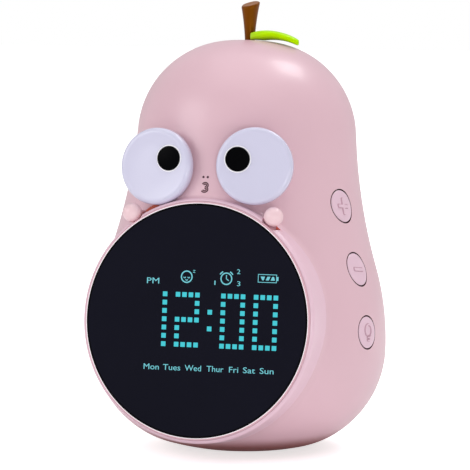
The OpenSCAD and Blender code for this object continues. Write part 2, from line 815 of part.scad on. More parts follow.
module flared_stem(grow) {
    full_h = stem_h + stem_top_r * tan(stem_slope);
    translate([stem_x, 0, body_h]) rotate([stem_tilt, 0, 0]) rotate_extrude() polygon(concat(
        [[0, -stem_sink], [stem_r + grow, -stem_sink]],
        [for (k = [0 : STEM_STEPS]) [stem_flare(k / STEM_STEPS) + grow, full_h * k / STEM_STEPS]],
        [[0, full_h]]
    ));
}

module stem() {
    flange_z = body_h - wall - 1;
    color([0.45, 0.22, 0.05]) lean() union() {
        difference() {
            flared_stem(0);
            translate([stem_x, -stem_h * sin(stem_tilt), body_h + stem_h * cos(stem_tilt)])
                rotate([0, 0, stem_slope_turn])
                rotate([0, stem_slope, 0]) translate([-BIG / 2, -BIG / 2, 0]) cube(BIG);
        }
        translate([stem_x, 0, flange_z]) cylinder(r = stem_shank_r, h = body_h - flange_z + 1);
        translate([stem_x, 0, flange_z - stem_flange_t])
            cylinder(r = stem_flange_r, h = stem_flange_t + EPS);
    }
}

leaf_clear = 0.15;                       // gap between the leaf and the crown
leaf_skew = 2;                           // the hollow under the leaf lies further out
module leaf() {
    arch_x = leaf_x + leaf_l * 0.36;
    arch_z = body_h + leaf_top - leaf_arch;
    color([0.66, 0.86, 0.05]) lean() difference() {
        union() {
            intersection() {
                translate([arch_x, BIG / 2, arch_z]) rotate([90, 0, 0]) difference() {
                    cylinder(r = leaf_arch, h = BIG, $fn = 128);
                    translate([leaf_skew, -leaf_t, -1])
                        cylinder(r = leaf_arch, h = BIG + 2, $fn = 128);
                }
                translate([leaf_x, leaf_y, body_h - leaf_l / 4]) linear_extrude(height = leaf_l)
                    leaf_outline();
                below_crown_cut();
            }
            translate([leaf_peg_x, leaf_y, body_h - wall])
                cylinder(r = leaf_peg_r, h = wall + leaf_top / 2, $fn = 24);
        }
        flared_stem(FIT);
    }
}

// All of the space outside the crown, but for the gap under the leaf.
module below_crown_cut() {
    difference() {
        translate([-BIG / 2, -BIG / 2, body_h - BIG / 10]) cube([BIG, BIG, BIG / 5]);
        translate([0, 0, body_h - crown_r]) sphere(r = crown_r + leaf_clear, $fn = 128);
    }
}

// Two arcs that meet in a blunt point at each end.
module leaf_outline() {
    half_l = leaf_l / 2;
    half_w = leaf_w / 2;
    r = (half_l * half_l + half_w * half_w) / (2 * half_w);
    translate([half_l, 0]) intersection() {
        translate([0, half_w - r]) circle(r = r, $fn = 96);
        translate([0, r - half_w]) circle(r = r, $fn = 96);
        square([leaf_l - 1, leaf_w], center = true);
    }
}

// ---- Buttons ------------------------------------------------------------------------
icon_h = 0.35;
icon_w = 1.3;
icon_l = 6;
lamp_r = 2.4;                            // radius of the lamp mark's bulb
lamp_w = 0.8;                            // width of the lamp mark's lines

// Marks on the buttons: 0 is a plus, 1 a minus and 2 a lamp.
module button_icon(i) {
    if (i < 2) square([icon_w, icon_l], center = true);
    if (i == 0) square([icon_l, icon_w], center = true);
    if (i == 2) {
        translate([lamp_w - lamp_r / 2, 0]) difference() {
            circle(r = lamp_r, $fn = 32);
            circle(r = lamp_r - lamp_w, $fn = 32);
        }
        translate([lamp_r / 2 + 2 * lamp_w, 0]) square([lamp_w, lamp_r], center = true);
    }
}

module button(i) {
    start = sleeve_x(i) - flange_gap - flange_t;
    switch_top = button_board_x + switch_h + plunger_h;
    post_start = switch_top + button_travel + flange_gap;
    color(PINK) lean() union() {
        intersection() {
            button_frame(i) translate([0, 0, start]) cylinder(r = button_r, h = BIG / 5);
            pear(button_proud);
        }
        intersection() {
            button_frame(i) translate([0, 0, start]) linear_extrude(height = BIG / 5) button_icon(i);
            pear(button_proud + icon_h);
        }
        button_frame(i) translate([0, 0, start]) cylinder(r = flange_r, h = flange_t);
        button_frame(i) translate([0, 0, post_start])
            cylinder(r = button_post_r, h = start - post_start + EPS, $fn = 24);
    }
}

module switch(i) {
    color([0.2, 0.2, 0.22]) lean() button_frame(i) translate([0, 0, button_board_x]) union() {
        translate([-switch_size / 2, -switch_size / 2, 0]) cube([switch_size, switch_size, switch_h]);
        translate([0, 0, switch_h - EPS]) cylinder(r = plunger_r, h = plunger_h + EPS, $fn = 24);
    }
}

module button_pcb() {
    w = 2 * board_margin;
    h = 2 * button_pitch + 2 * board_margin;
    color(BOARD_GREEN) lean() difference() {
        button_frame(1) translate([-h / 2, -w / 2, button_board_x - board_t]) cube([h, w, board_t]);
        for (i = BOARD_POSTS) button_frame(i) translate([0, 0, button_board_x - board_t - 1])
            cylinder(r = small_hole, h = board_t + 2, $fn = 24);
    }
}

module button_screws() {
    color(STEEL) lean() for (i = BOARD_POSTS) button_frame(i)
        translate([0, 0, button_board_x - board_t]) rotate([180, 0, 0])
            screw(small_shank, board_t + screw_bite, small_head, small_head_h);
}

// ---- Battery ------------------------------------------------------------------------
bracket_t = 1.6;
saddle_t = 3;
saddle_x = 24;
bracket_z = level_floor + weight_t;
cell_z = bracket_z + bracket_t + 0.4 + cell_r;
cell_y = -3;
cell_l = 2 * (COVER_SCREWS[0].x - post_r - cell_gap);
cap_r = 3;
cap_h = 1;

module cell_frame() {
    translate([0, cell_y, cell_z]) rotate([0, 90, 0]) children();
}

module battery() {
    color([0.25, 0.45, 0.75]) cell_frame() union() {
        translate([0, 0, -cell_l / 2]) cylinder(r = cell_r, h = cell_l - cap_h);
        translate([0, 0, cell_l / 2 - cap_h - EPS]) cylinder(r = cap_r, h = cap_h + EPS);
    }
}

module battery_bracket() {
    saddle_h = cell_z - bracket_z;
    color([0.85, 0.85, 0.87]) difference() {
        union() {
            translate([-saddle_x, cell_y - cell_r, bracket_z])
                cube([2 * saddle_x, 2 * cell_r, bracket_t]);
            for (side = [-1, 1])
                translate([side * saddle_x - saddle_t / 2, cell_y - cell_r - 1.5, bracket_z])
                    cube([saddle_t, 2 * cell_r + 3, saddle_h]);
        }
        cell_frame() translate([0, 0, -cell_l]) cylinder(r = cell_r + FIT, h = 2 * cell_l);
        for (side = [-1, 1]) translate([side * weight_post_x, 0, bracket_z - 1])
            cylinder(r = small_hole, h = bracket_t + 2, $fn = 24);
    }
}

module bracket_screws() {
    color(STEEL) for (side = [-1, 1]) translate([side * weight_post_x, 0, bracket_z + bracket_t])
        screw(small_shank, bracket_t + weight_t - 2, small_head, 0.35);
}

// ---- Loudspeaker and charging socket ---------------------------------------------
module speaker() {
    magnet_r = 7;
    color([0.15, 0.15, 0.16]) lean() speaker_frame() translate([0, 0, speaker_front - speaker_depth])
        rotate_extrude() polygon([
            [0, 0], [magnet_r, 0], [magnet_r, 3.5], [speaker_r - 2, 6], [speaker_r, 6],
            [speaker_r, speaker_depth], [speaker_r - 2, speaker_depth],
            [speaker_r - 3, speaker_depth - 0.5], [4, 5.5], [0, 6.5]
        ]);
}

module usb_socket() {
    shell = 0.4;
    color(STEEL) lean() translate([0, usb_mouth - usb_l, usb_z]) rotate([-90, 0, 0]) union() {
        difference() {
            linear_extrude(height = usb_l) usb_outline(0);
            translate([0, 0, 1]) linear_extrude(height = usb_l) usb_outline(-shell);
        }
        translate([-3, -0.4, 0]) cube([6, 0.8, usb_l - 1.2]);
    }
}

module usb_board() {
    color(BOARD_GREEN) lean()
        translate([-usb_board_w / 2, usb_board_end - usb_board_l, usb_board_z])
            cube([usb_board_w, usb_board_l, usb_board_t]);
}

front_shell();
rear_cover();
rear_screws();
foot_pad();
base_weight();
display_lens();
display_bezel();
display_grid();
display_leds();
display_pcb();
display_carrier();
carrier_screws();
main_pcb();
main_chips();
main_screws();
eye(-1);  // eye_left
eye(1);  // eye_right
pupil(-1);  // pupil_left
pupil(1);  // pupil_right
eye_light(-1);  // eye_light_left
eye_light(1);  // eye_light_right
hand(-1);  // hand_left
hand(1);  // hand_right
stem();
leaf();
button(0);  // button_plus
button(1);  // button_minus
button(2);  // button_light
switch(0);  // switch_plus
switch(1);  // switch_minus
switch(2);  // switch_light
button_pcb();
button_screws();
battery();
battery_bracket();
bracket_screws();
speaker();
usb_socket();
usb_board();
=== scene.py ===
"""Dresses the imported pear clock: smooth shells, lit display, finishes, studio light and camera."""

import json
import math

import bmesh
import bpy
import numpy as np
from mathutils import Matrix, Vector


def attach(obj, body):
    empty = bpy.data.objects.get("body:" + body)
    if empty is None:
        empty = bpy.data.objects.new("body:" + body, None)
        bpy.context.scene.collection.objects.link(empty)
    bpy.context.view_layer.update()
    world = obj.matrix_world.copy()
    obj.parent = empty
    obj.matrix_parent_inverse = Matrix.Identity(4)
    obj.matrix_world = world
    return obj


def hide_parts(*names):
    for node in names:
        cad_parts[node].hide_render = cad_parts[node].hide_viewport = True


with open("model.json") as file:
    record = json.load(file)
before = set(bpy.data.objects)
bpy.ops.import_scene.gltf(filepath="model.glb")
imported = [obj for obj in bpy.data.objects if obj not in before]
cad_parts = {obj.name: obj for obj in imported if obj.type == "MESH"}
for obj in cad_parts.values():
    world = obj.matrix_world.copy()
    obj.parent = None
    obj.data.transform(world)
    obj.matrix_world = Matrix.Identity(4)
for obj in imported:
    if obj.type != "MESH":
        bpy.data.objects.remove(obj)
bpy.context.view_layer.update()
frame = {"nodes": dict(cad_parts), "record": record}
MM = 0.001
BIG = 100.0
SIDES = {-1: "left", 1: "right"}
X, Y, Z = np.eye(3)

# ---- Sizes of the housing, as in the part: millimetres in the pear's own frame, Z up its axis ----
LEAN = math.radians(6.6)
BODY_H = 148.0
HEAD_R = 39.6
SHOULDER_R = 34.5
CROWN_R = 100.0
BELLY_R = 53.1
BELLY_Z = 38.5
SIDE_R = 97.0
WAIST_R = 200.0
SOLE_R = 110.0
FLAT_R = 21.0
WALL = 2.2
FLOOR_T = 2.4
PAD_OUT = 0.5
SPLIT_Y = 20.0
COVER_Z = 9.0
SEAM_GAP = 0.07
SOLE_Z = (PAD_OUT + math.sqrt(SOLE_R**2 - FLAT_R**2)) / math.cos(LEAN)
LEAN_C, LEAN_S = math.cos(LEAN), math.sin(LEAN)
LEAN_TURN = np.array([[1, 0, 0], [0, LEAN_C, -LEAN_S], [0, LEAN_S, LEAN_C]])
FOOT_SHIFT = np.array([0, SOLE_Z * LEAN_S, 0])

# ---- Sizes of the display: lens, rim and groove, all round one axis in the boss ----
LENS_MARGIN = 12.2
LENS_SET = 6.6
LENS_T = 1.5
LENS_SHADE_W = 0.6
RIM_W = 0.5
GROOVE_W = 0.5
BOSS_WALL = 1.1
BOSS_LOW = 3.1
BOSS_INSET = 0.3
BOSS_EDGE = 2.6
BOSS_ROOT = 2.0
LEDGE_DEPTH = 8.5
FILLET = 1.3
LENS_R = BELLY_R - LENS_MARGIN
RIM_R = LENS_R + RIM_W
BORE_R = RIM_R + GROOVE_W
BOSS_R = BORE_R + BOSS_WALL
DISPLAY_Z = BOSS_R + BOSS_LOW
LENS_FRONT = BELLY_R - LENS_SET
LENS_BACK = LENS_FRONT - LENS_T
BOSS_FRONT = LENS_FRONT - BOSS_INSET
CENTRE = np.array([0, 0, DISPLAY_Z])

PITCH_X, PITCH_Z = 2.41, 2.91
DIGITS_X, DIGITS_Z = 5.07, 0.28
DOT = 1.68
DOT_EDGE = 0.12
DIGIT_START = (-10, -5, 2, 7)
LIFT = 0.03
SINK = 0.002

# ---- Sizes of the face ----
EYE_R = 13.6
EYE_T = 3.6
EYE_EDGE = 1.6
EYE_DISH = 0.12
EYE_X = 18.1
EYE_GAP = 0.15
EYE_STEP = 0.9
EYE_YAW = 8
EYE_TURN = 2.5
EYE_ANGLE = {side: math.radians(side * EYE_YAW + EYE_TURN) for side in SIDES}
SOCKET_R = 10.0
SOCKET_L = 9.0
PUPIL_R = 4.3
PUPIL_IN = 5.65
PUPIL_UP = {-1: 2.8, 1: 2.16}
PUPIL_SHIFT = -0.21
PUPIL_TOP = 0.5
PUPIL_EDGE = 0.15
LIP_GAP = 0.03
LIP_W = 0.45
MOUTH = (-0.2, 92.9)

HAND_R = 3.4
HAND_TURN = math.radians(35.3)
HAND_OUT = 2.5
HAND_BACK = 2.4
HAND_X = (BOSS_R + HAND_OUT) * math.sin(HAND_TURN)
HAND_Z = DISPLAY_Z + (BOSS_R + HAND_OUT) * math.cos(HAND_TURN)
HAND_FRONT = BOSS_FRONT - HAND_BACK
HAND_NECK = 0.92
HAND_PEG_R = 1.2
HAND_PEG_L = 10.1
HAND_PEG_TURN = math.radians(15)
NOTCH_R = 4.2
NOTCH_SHIFT = {-1: 0.0, 1: 0.45}
NOTCH_BACK = 40.2

# ---- Sizes of the stem and the leaf ----
STEM_X = -0.3
STEM_R = 1.8
STEM_TOP_R = 3.75
STEM_H = 13.4
STEM_TILT = math.radians(5)
STEM_SLOPE = math.radians(23)
STEM_TURN = math.radians(-112)
STEM_EDGE = 0.55
STEM_SINK = 3.0
STEM_DIP = 0.15
STEM_HOLE_R = 1.9
STEM_HOLE_L = 4.0
LEAF_X = 0.5
LEAF_Y = -3.3
LEAF_L = 19.6
LEAF_W = 9.5
LEAF_T = 3.3
LEAF_TOP = 3.5
LEAF_ARCH = 23.6
LEAF_SKEW = 2.0
LEAF_MIN_T = 1.2
LEAF_CLEAR = 0.2
LEAF_CREASE = 0.18

# ---- Sizes of the buttons and of what the rear cover carries ----
BUTTON_NAMES = ("button_plus", "button_minus", "button_light")
BUTTON_Z = 88.6
BUTTON_PITCH = 22.2
BUTTON_Y = 12.6
BUTTON_BACK = 0.9
BUTTON_R = 5.65
BUTTON_EDGE = 0.6
BUTTON_GAP = 0.45
BUTTON_PROUD = 0.25
BUTTON_TRAVEL = 0.6
BUTTON_BOARD_X = 24.0
SWITCH_H = 3.4
PLUNGER_H = 0.9
SLEEVE_R = 8.2
SLEEVE_SINK = 0.2
FLANGE_R = 7.6
FLANGE_T = 1.2
FLANGE_GAP = 0.3
POST_R = 1.6
ICON_H = 0.35
ICON_SLOPE = 0.28
BAR_L, BAR_W, BAR_EDGE = 3.0, 0.65, 0.4

COVER_CUT_Y = SPLIT_Y + 4
COVER_WEB = 2.0
COVER_POST_R = 3.2
COVER_WELL_R = 2.6
SCREW_IN = 6.6
LOW_SCREW_Z = 25.0
TOP_SCREW_DOWN = 1.3
SPEAKER_Z = 62.0
GRILLE_PITCH = 3.0
GRILLE_RINGS = 4
GRILLE_R = 0.8
USB_Z = 24.0
USB_W, USB_H = 9.5, 3.8


def turn_to_world(directions):
    """Directions in the pear's frame to the row frame."""
    return np.asarray(directions, float).reshape(-1, 3) @ LEAN_TURN


def to_world(points):
    """Points in the pear's frame, in millimetres, to the row frame, in metres."""
    return (turn_to_world(points) - FOOT_SHIFT) * MM


def to_pear(points):
    """The way back from to_world."""
    return (np.asarray(points, float).reshape(-1, 3) / MM + FOOT_SHIFT) @ LEAN_TURN.T


# ---- Outline of the pear: six arcs that touch, from the sole to the crown ----
def unit(v):
    """A vector, or each row of an array, at the length 1."""
    v = np.asarray(v, float)
    return v / np.linalg.norm(v, axis=-1, keepdims=True)


def outside_touch(a, ra, b, rb):
    """Centre that lies at the distance ra from a and rb from b, on the outer side."""
    d = b - a
    length = np.linalg.norm(d)
    u = d / length
    along = (ra * ra - rb * rb + length * length) / (2 * length)
    return a + u * along + np.array([-u[1], u[0]]) * math.sqrt(ra * ra - along * along)


crown_c = np.array([0.0, BODY_H - CROWN_R])
shoulder_c = np.array([
    HEAD_R - SHOULDER_R,
    BODY_H - CROWN_R + math.sqrt((CROWN_R - SHOULDER_R)**2 - (HEAD_R - SHOULDER_R)**2)])
side_c = np.array([BELLY_R - SIDE_R, BELLY_Z])
waist_c = outside_touch(shoulder_c, SHOULDER_R + WAIST_R, side_c, SIDE_R + WAIST_R)
sole_c = np.array([0.0, SOLE_Z])
low_r = (SOLE_R**2 - BELLY_R**2 - (SOLE_Z - BELLY_Z)**2) / (2 * (SOLE_R - BELLY_R))
low_c = np.array([BELLY_R - low_r, BELLY_Z])
ARC_C = np.array([sole_c, low_c, side_c, waist_c, shoulder_c, crown_c])
ARC_R = np.array([SOLE_R, low_r, SIDE_R, WAIST_R, SHOULDER_R, CROWN_R])
ARC_SIGN = np.array([1, 1, 1, -1, 1, 1.0])
JOIN_N = np.array([unit(low_c - sole_c), [1, 0], unit(waist_c - side_c), unit(waist_c - shoulder_c),
                   unit(shoulder_c - crown_c)])
JOIN_P = ARC_C[[0, 1, 2, 4, 5]] + JOIN_N * ARC_R[[0, 1, 2, 4, 5], None]
JOIN_T = np.column_stack([-JOIN_N[:, 1], JOIN_N[:, 0]])


def pear_radius(z, grow=0.0):
    """Radius of the pear at heights on its axis; negative above and below it."""
    z = np.asarray(z, float)
    joins = JOIN_P[:, 1] + JOIN_N[:, 1] * grow
    i = np.searchsorted(joins, z)
    c, r, sign = ARC_C[i], ARC_R[i] + ARC_SIGN[i] * grow, ARC_SIGN[i]
    under = r * r - (z - c[..., 1])**2
    radius = c[..., 0] + sign * np.sqrt(np.maximum(under, 0))
    return np.where(under < 0, -1.0, radius)


def surface_y(x, z, grow=0.0):
    """Distance from the axis plane to the pear's surface at a sideways place."""
    return np.sqrt(pear_radius(z, grow)**2 - np.square(x))


BOSS_BACK = surface_y(BOSS_R, DISPLAY_Z, -WALL) - BOSS_ROOT
COVER_SCREWS = [(side * (surface_y(SPLIT_Y, z, -WALL) - SCREW_IN), z)
                for z in (LOW_SCREW_Z, shoulder_c[1] - TOP_SCREW_DOWN) for side in SIDES]


def pear_distance(p):
    """Signed distance to the pear without its boss."""
    q = np.column_stack([np.hypot(p[:, 0], p[:, 1]), p[:, 2]])
    passed = np.sum((q[:, None, :] - JOIN_P) * JOIN_T, axis=-1) > 0
    i = np.sum(passed, axis=1)
    return ARC_SIGN[i] * (np.linalg.norm(q - ARC_C[i], axis=1) - ARC_R[i])


def from_display(p):
    """Distance from the display's axis."""
    return np.hypot(p[:, 0], p[:, 2] - DISPLAY_Z)


def corner_distance(a, b, edge):
    """Signed distance to a rounded corner; a and b run outwards from the corner's own centre."""
    return np.hypot(np.maximum(a, 0), np.maximum(b, 0)) + np.minimum(np.maximum(a, b), 0) - edge


def boss_distance(p):
    """Signed distance to the boss: a short cylinder with a rounded front edge."""
    a = from_display(p) - (BOSS_R - BOSS_EDGE)
    b = -p[:, 1] - (BOSS_FRONT - BOSS_EDGE)
    return np.maximum(corner_distance(a, b, BOSS_EDGE), BOSS_BACK + p[:, 1])


def eye_middle(side):
    """Middle of an eye: it clears the boss, and the rim of its back clears the curved shell."""
    angle = EYE_ANGLE[side]
    z = DISPLAY_Z + math.sqrt((BOSS_R + EYE_GAP + EYE_R)**2 - EYE_X**2) + max(side, 0) * EYE_STEP
    t = np.radians(np.arange(0, 360, 10))
    x = side * EYE_X - EYE_T / 2 * math.sin(angle) + EYE_R * np.cos(t) * math.cos(angle)
    rim = surface_y(x, z + EYE_R * np.sin(t)) + EYE_R * np.cos(t) * math.sin(angle)
    return np.array([side * EYE_X, -(rim.max() + EYE_GAP + EYE_T / 2 * math.cos(angle)), z])


EYE_MIDDLE = {side: eye_middle(side) for side in SIDES}


def eye_frame(side):
    """Origin, and axes across, up and out of an eye, in the pear's frame."""
    c, s = math.cos(EYE_ANGLE[side]), math.sin(EYE_ANGLE[side])
    return EYE_MIDDLE[side], np.array([c, s, 0]), Z, np.array([s, -c, 0])


def shell_distance(p):
    """Signed distance to the outside of the body: pear and boss with a soft hollow between."""
    pear, boss = pear_distance(p), boss_distance(p)
    u, v = np.maximum(FILLET - pear, 0), np.maximum(FILLET - boss, 0)
    near = np.minimum(pear, boss)
    d = np.where((u > 0) | (v > 0), np.maximum(FILLET, near) - np.hypot(u, v), near)
    for side in SIDES:
        o, across, up, out = eye_frame(side)
        q = p - o
        a = np.hypot(q @ across, q @ up) - (EYE_R + EYE_GAP)
        b = -(EYE_T / 2 + EYE_GAP) - q @ out
        d = np.maximum(d, -np.maximum(a, b))
    return np.maximum(d, PAD_OUT - turn_to_world(p)[:, 2])


def gradient(distance, p, step=1e-3):
    """Unit directions in which a distance grows."""
    g = np.empty_like(p)
    for k in range(3):
        h = np.zeros(3)
        h[k] = step
        g[:, k] = distance(p + h) - distance(p - h)
    return g / np.maximum(np.linalg.norm(g, axis=1, keepdims=True), 1e-12)


# ---- Materials ----
def new_material(name):
    m = bpy.data.materials.new(name)
    m.use_nodes = True
    nodes = m.node_tree.nodes
    return m, nodes, m.node_tree.links, nodes["Principled BSDF"]


def put(node, **values):
    """Sets a node's own inputs; an underscore stands for a space in an input's name."""
    for name, value in values.items():
        node.inputs[name.replace("_", " ")].default_value = value
    return node


def object_noise(nodes, links, scale, detail=3.0):
    """Noise laid through the object's own space."""
    coords = nodes.new("ShaderNodeTexCoord")
    noise = put(nodes.new("ShaderNodeTexNoise"), Scale=scale, Detail=detail)
    links.new(coords.outputs["Object"], noise.inputs["Vector"])
    return noise.outputs["Fac"]


def ramp(nodes, links, source, low, high):
    """Output that runs from low to high while the source runs from 0 to 1."""
    node = put(nodes.new("ShaderNodeMapRange"), To_Min=low, To_Max=high)
    links.new(source, node.inputs["Value"])
    return node.outputs["Result"]


def colour_mix(nodes, links, factor, **ends):
    """Mix of two colours, A and B, with a linked factor."""
    mix = nodes.new("ShaderNodeMix")
    mix.data_type = "RGBA"
    put(mix, **ends)
    links.new(factor, mix.inputs["Factor"])
    return mix


def plastic(name, colour, rough, grain=0.02, grain_scale=9000.0, coat=0.0, level=0.5, vary=0.03,
            tint=(1, 1, 1), metallic=0.0):
    """Moulded plastic: fine grain in the bump, slow drift in colour and in roughness."""
    m, nodes, links, shader = new_material(name)
    mix = colour_mix(nodes, links, object_noise(nodes, links, 35.0),
                     A=[c * (1 - vary) for c in colour] + [1],
                     B=[min(1, c * (1 + vary)) for c in colour] + [1])
    links.new(mix.outputs["Result"], shader.inputs["Base Color"])
    uneven = object_noise(nodes, links, 260.0)
    links.new(ramp(nodes, links, uneven, rough * 0.9, rough * 1.1), shader.inputs["Roughness"])
    bump = put(nodes.new("ShaderNodeBump"), Strength=grain, Distance=0.0001)
    links.new(object_noise(nodes, links, grain_scale, 2.0), bump.inputs["Height"])
    links.new(bump.outputs["Normal"], shader.inputs["Normal"])
    put(shader, Coat_Weight=coat, Coat_Roughness=0.12, Specular_IOR_Level=level, Metallic=metallic,
        Specular_Tint=(*tint, 1))
    return m


def paint_shade_below(material, colour, start, end):
    """Paints shade into a plastic: below the first height, in metres above the floor, its colour turns
    deeper and duller and its reflections weaker, fading out by the second.
    """
    nodes, links = material.node_tree.nodes, material.node_tree.links
    shader = nodes["Principled BSDF"]
    coords = nodes.new("ShaderNodeTexCoord")
    split = nodes.new("ShaderNodeSeparateXYZ")
    links.new(coords.outputs["Object"], split.inputs["Vector"])
    fade = put(nodes.new("ShaderNodeMapRange"), From_Min=start, From_Max=end)
    fade.interpolation_type = "SMOOTHSTEP"
    links.new(split.outputs["Z"], fade.inputs["Value"])
    mix = colour_mix(nodes, links, fade.outputs["Result"], A=(*colour, 1))
    links.new(shader.inputs["Base Color"].links[0].from_socket, mix.inputs["B"])
    links.new(mix.outputs["Result"], shader.inputs["Base Color"])
    for name in ("Specular IOR Level", "Coat Weight"):
        full = shader.inputs[name].default_value
        links.new(ramp(nodes, links, fade.outputs["Result"], 0.1 * full, full), shader.inputs[name])


def glow(name, colour):
    """Lit marks of the display: coloured light with a faint drift in strength."""
    m, nodes, links, shader = new_material(name)
    put(shader, Base_Color=(0, 0, 0, 1), Specular_IOR_Level=0.0, Emission_Color=(*colour, 1))
    drift = object_noise(nodes, links, 120.0)
    links.new(ramp(nodes, links, drift, 0.94, 1.06), shader.inputs["Emission Strength"])
    return m


WOOD_TINT = (1.0, 0.42, 0.05)
MATERIALS = {
    "shell": plastic("pink_shell", (0.675, 0.44, 0.502), 0.36, coat=0.1),
    "button": plastic("pink_button", (0.70, 0.485, 0.58), 0.38, coat=0.15),
    "rim": plastic("pale_rim", (0.95, 0.86, 0.90), 0.35),
    "lens": plastic("smoke_lens", (0.006, 0.006, 0.012), 0.12, grain=0.0, level=0.06, vary=0.1),
    "eye": plastic("milk_white", (0.59, 0.575, 0.73), 0.25, coat=0.3, vary=0.01),
    "pupil": plastic("black_gloss", (0.0015, 0.0015, 0.002), 0.22, level=0.02),
    "stem": plastic("brown_stem", (0.135, 0.034, 0.001), 0.3, vary=0.4, tint=WOOD_TINT),
    "leaf": plastic("lime_leaf", (0.44, 0.78, 0.0), 0.35, vary=0.04, tint=(0.6, 1.0, 0.0)),
    "foot": plastic("foot_rubber", (0.03, 0.03, 0.032), 0.75, grain=0.3, grain_scale=4000),
    "board": plastic("circuit_board", (0.01, 0.09, 0.03), 0.35, coat=0.4),
    "chip": plastic("black_moulding", (0.01, 0.01, 0.012), 0.5),
    "grid": plastic("white_reflector", (0.8, 0.8, 0.8), 0.6),
    "led": plastic("led_package", (0.2, 0.8, 0.75), 0.3),
    "inner_plastic": plastic("inner_plastic", (0.7, 0.7, 0.72), 0.5),
    "battery": plastic("cell_sleeve", (0.05, 0.16, 0.5), 0.3),
    "speaker": plastic("speaker_black", (0.012, 0.012, 0.014), 0.6),
    "steel": plastic("plated_steel", (0.6, 0.6, 0.62), 0.3, metallic=1.0),
    "weight": plastic("turned_steel", (0.5, 0.5, 0.52), 0.4, metallic=1.0),
}
# painted shade: the shell turns a deep, dull red over its lowest few millimetres, where shade falls
# under the belly
paint_shade_below(MATERIALS["shell"], (0.30, 0.085, 0.085), 0.003, 0.009)
STEM_END = plastic("stem_end", (0.24, 0.07, 0.002), 0.3, vary=0.3, tint=WOOD_TINT)
# painted highlight: the lip round each pupil is a modelled ridge, coloured a brighter white for the
# highlight ring along it
PUPIL_RING_HIGHLIGHT = plastic("pupil_ring_painted_highlight", (0.9, 0.88, 0.93), 0.25, vary=0.01)
# painted sheen: a paler, more lilac pink on the boss's rounded edge and wall, for the light it catches
RING_SHEEN = plastic("boss_ring_painted_sheen", (0.735, 0.50, 0.59), 0.3, coat=0.2)
HAND_PINK = plastic("pink_hand", (0.80, 0.56, 0.60), 0.35, coat=0.2)
# painted shade: near-black at the lens's edge and on the rim's inner rounding, for the dark band next to
# the rim
LENS_EDGE_SHADE = plastic("lens_edge_shade", (0.002, 0.002, 0.003), 0.2, grain=0.0, level=0.04)
RIM_STEP = plastic("rim_step", (0.72, 0.45, 0.52), 0.4)
# painted shade: near-black for the shade down in the gaps round the buttons
GAP_SHADOW = plastic("seam_shadow", (0.05, 0.010, 0.012), 0.6, level=0.0)
# painted shade: a deeper pink on the sloped edges of the raised marks
ICON_SHADE = plastic("icon_edge_shade", (0.50, 0.30, 0.37), 0.5, level=0.2)
# painted shade: orange red for the warm shade in the notches by the hands and in the gap by the left eye
NOTCH_SHADE = plastic("notch_painted_shade", (0.62, 0.13, 0.08), 0.5, level=0.2)
CYAN = glow("cyan_light", (0.07, 0.60, 0.68))
PALE_CYAN = glow("pale_cyan_light", (0.19, 0.62, 0.70))
INK = plastic("grey_ink", (0.075, 0.030, 0.045), 0.6, level=0.2)
PALE_INK = plastic("pale_ink", (0.30, 0.18, 0.20), 0.6, level=0.2)

slot_of = {s["node"]: s["material_slot"] for s in frame["record"]["subparts"]}
for name, obj in frame["nodes"].items():
    obj.data.materials.clear()
    obj.data.materials.append(MATERIALS[slot_of[name]])


# ---- Mesh helpers ----
def link(name, mesh):
    obj = bpy.data.objects.new(name, mesh)
    bpy.context.scene.collection.objects.link(obj)
    return obj


def mesh_object(name, points, faces, material=None):
    """A mesh from points in the pear's frame."""
    mesh = bpy.data.meshes.new(name)
    mesh.from_pydata(to_world(points).tolist(), [], [list(map(int, f)) for f in faces])
    mesh.validate()
    obj = link(name, mesh)
    if material:
        mesh.materials.append(material)
    return obj


def face_out(obj, weld=False):
    """Turns the faces outwards; with weld, points that lie on each other are joined first."""
    bm = bmesh.new()
    bm.from_mesh(obj.data)
    if weld:
        bmesh.ops.remove_doubles(bm, verts=bm.verts, dist=1e-7)
    bmesh.ops.recalc_face_normals(bm, faces=bm.faces)
    bm.to_mesh(obj.data)
    bm.free()


def read(items, name, width=1, kind=float):
    """One property of all of a mesh's points, corners or faces as an array."""
    values = np.empty(len(items) * width, kind)
    items.foreach_get(name, values)
    return values.reshape(-1, width) if width > 1 else values


def paint(obj, material, test):
    """Gives a material to the faces that pass a test on their middles and normals."""
    mesh = obj.data
    mesh.materials.append(material)
    normals = read(mesh.polygons, "normal", 3) @ LEAN_TURN.T
    for k in np.nonzero(test(to_pear(read(mesh.polygons, "center", 3)), normals))[0]:
        mesh.polygons[int(k)].material_index = len(mesh.materials) - 1


def paint_ring(obj, inner, outer, material):
    """Gives a material to the faces between two radii round the display's axis."""
    mid, half = (inner + outer) / 2, (outer - inner) / 2
    paint(obj, material, lambda centre, normal: np.abs(from_display(centre) - mid) < half)


def paint_faces(obj, material, start, end):
    """Gives a material to the faces from one number up to another."""
    obj.data.materials.append(material)
    for polygon in obj.data.polygons[start:end]:
        polygon.material_index = len(obj.data.materials) - 1


def smooth_out(obj, degrees=35, weld=False):
    """Turns the faces outwards and shades them smooth across small angles."""
    face_out(obj, weld)
    obj.data.polygons.foreach_set("use_smooth", [True] * len(obj.data.polygons))
    obj.data.set_sharp_from_angle(angle=math.radians(degrees))


def stand_for(obj, node, body="housing"):
    """Makes a piece replace a CAD node on its body."""
    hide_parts(node)
    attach(obj, body)


def turns(steps):
    """Angles spaced evenly round a circle."""
    return np.arange(steps) * 2 * math.pi / steps


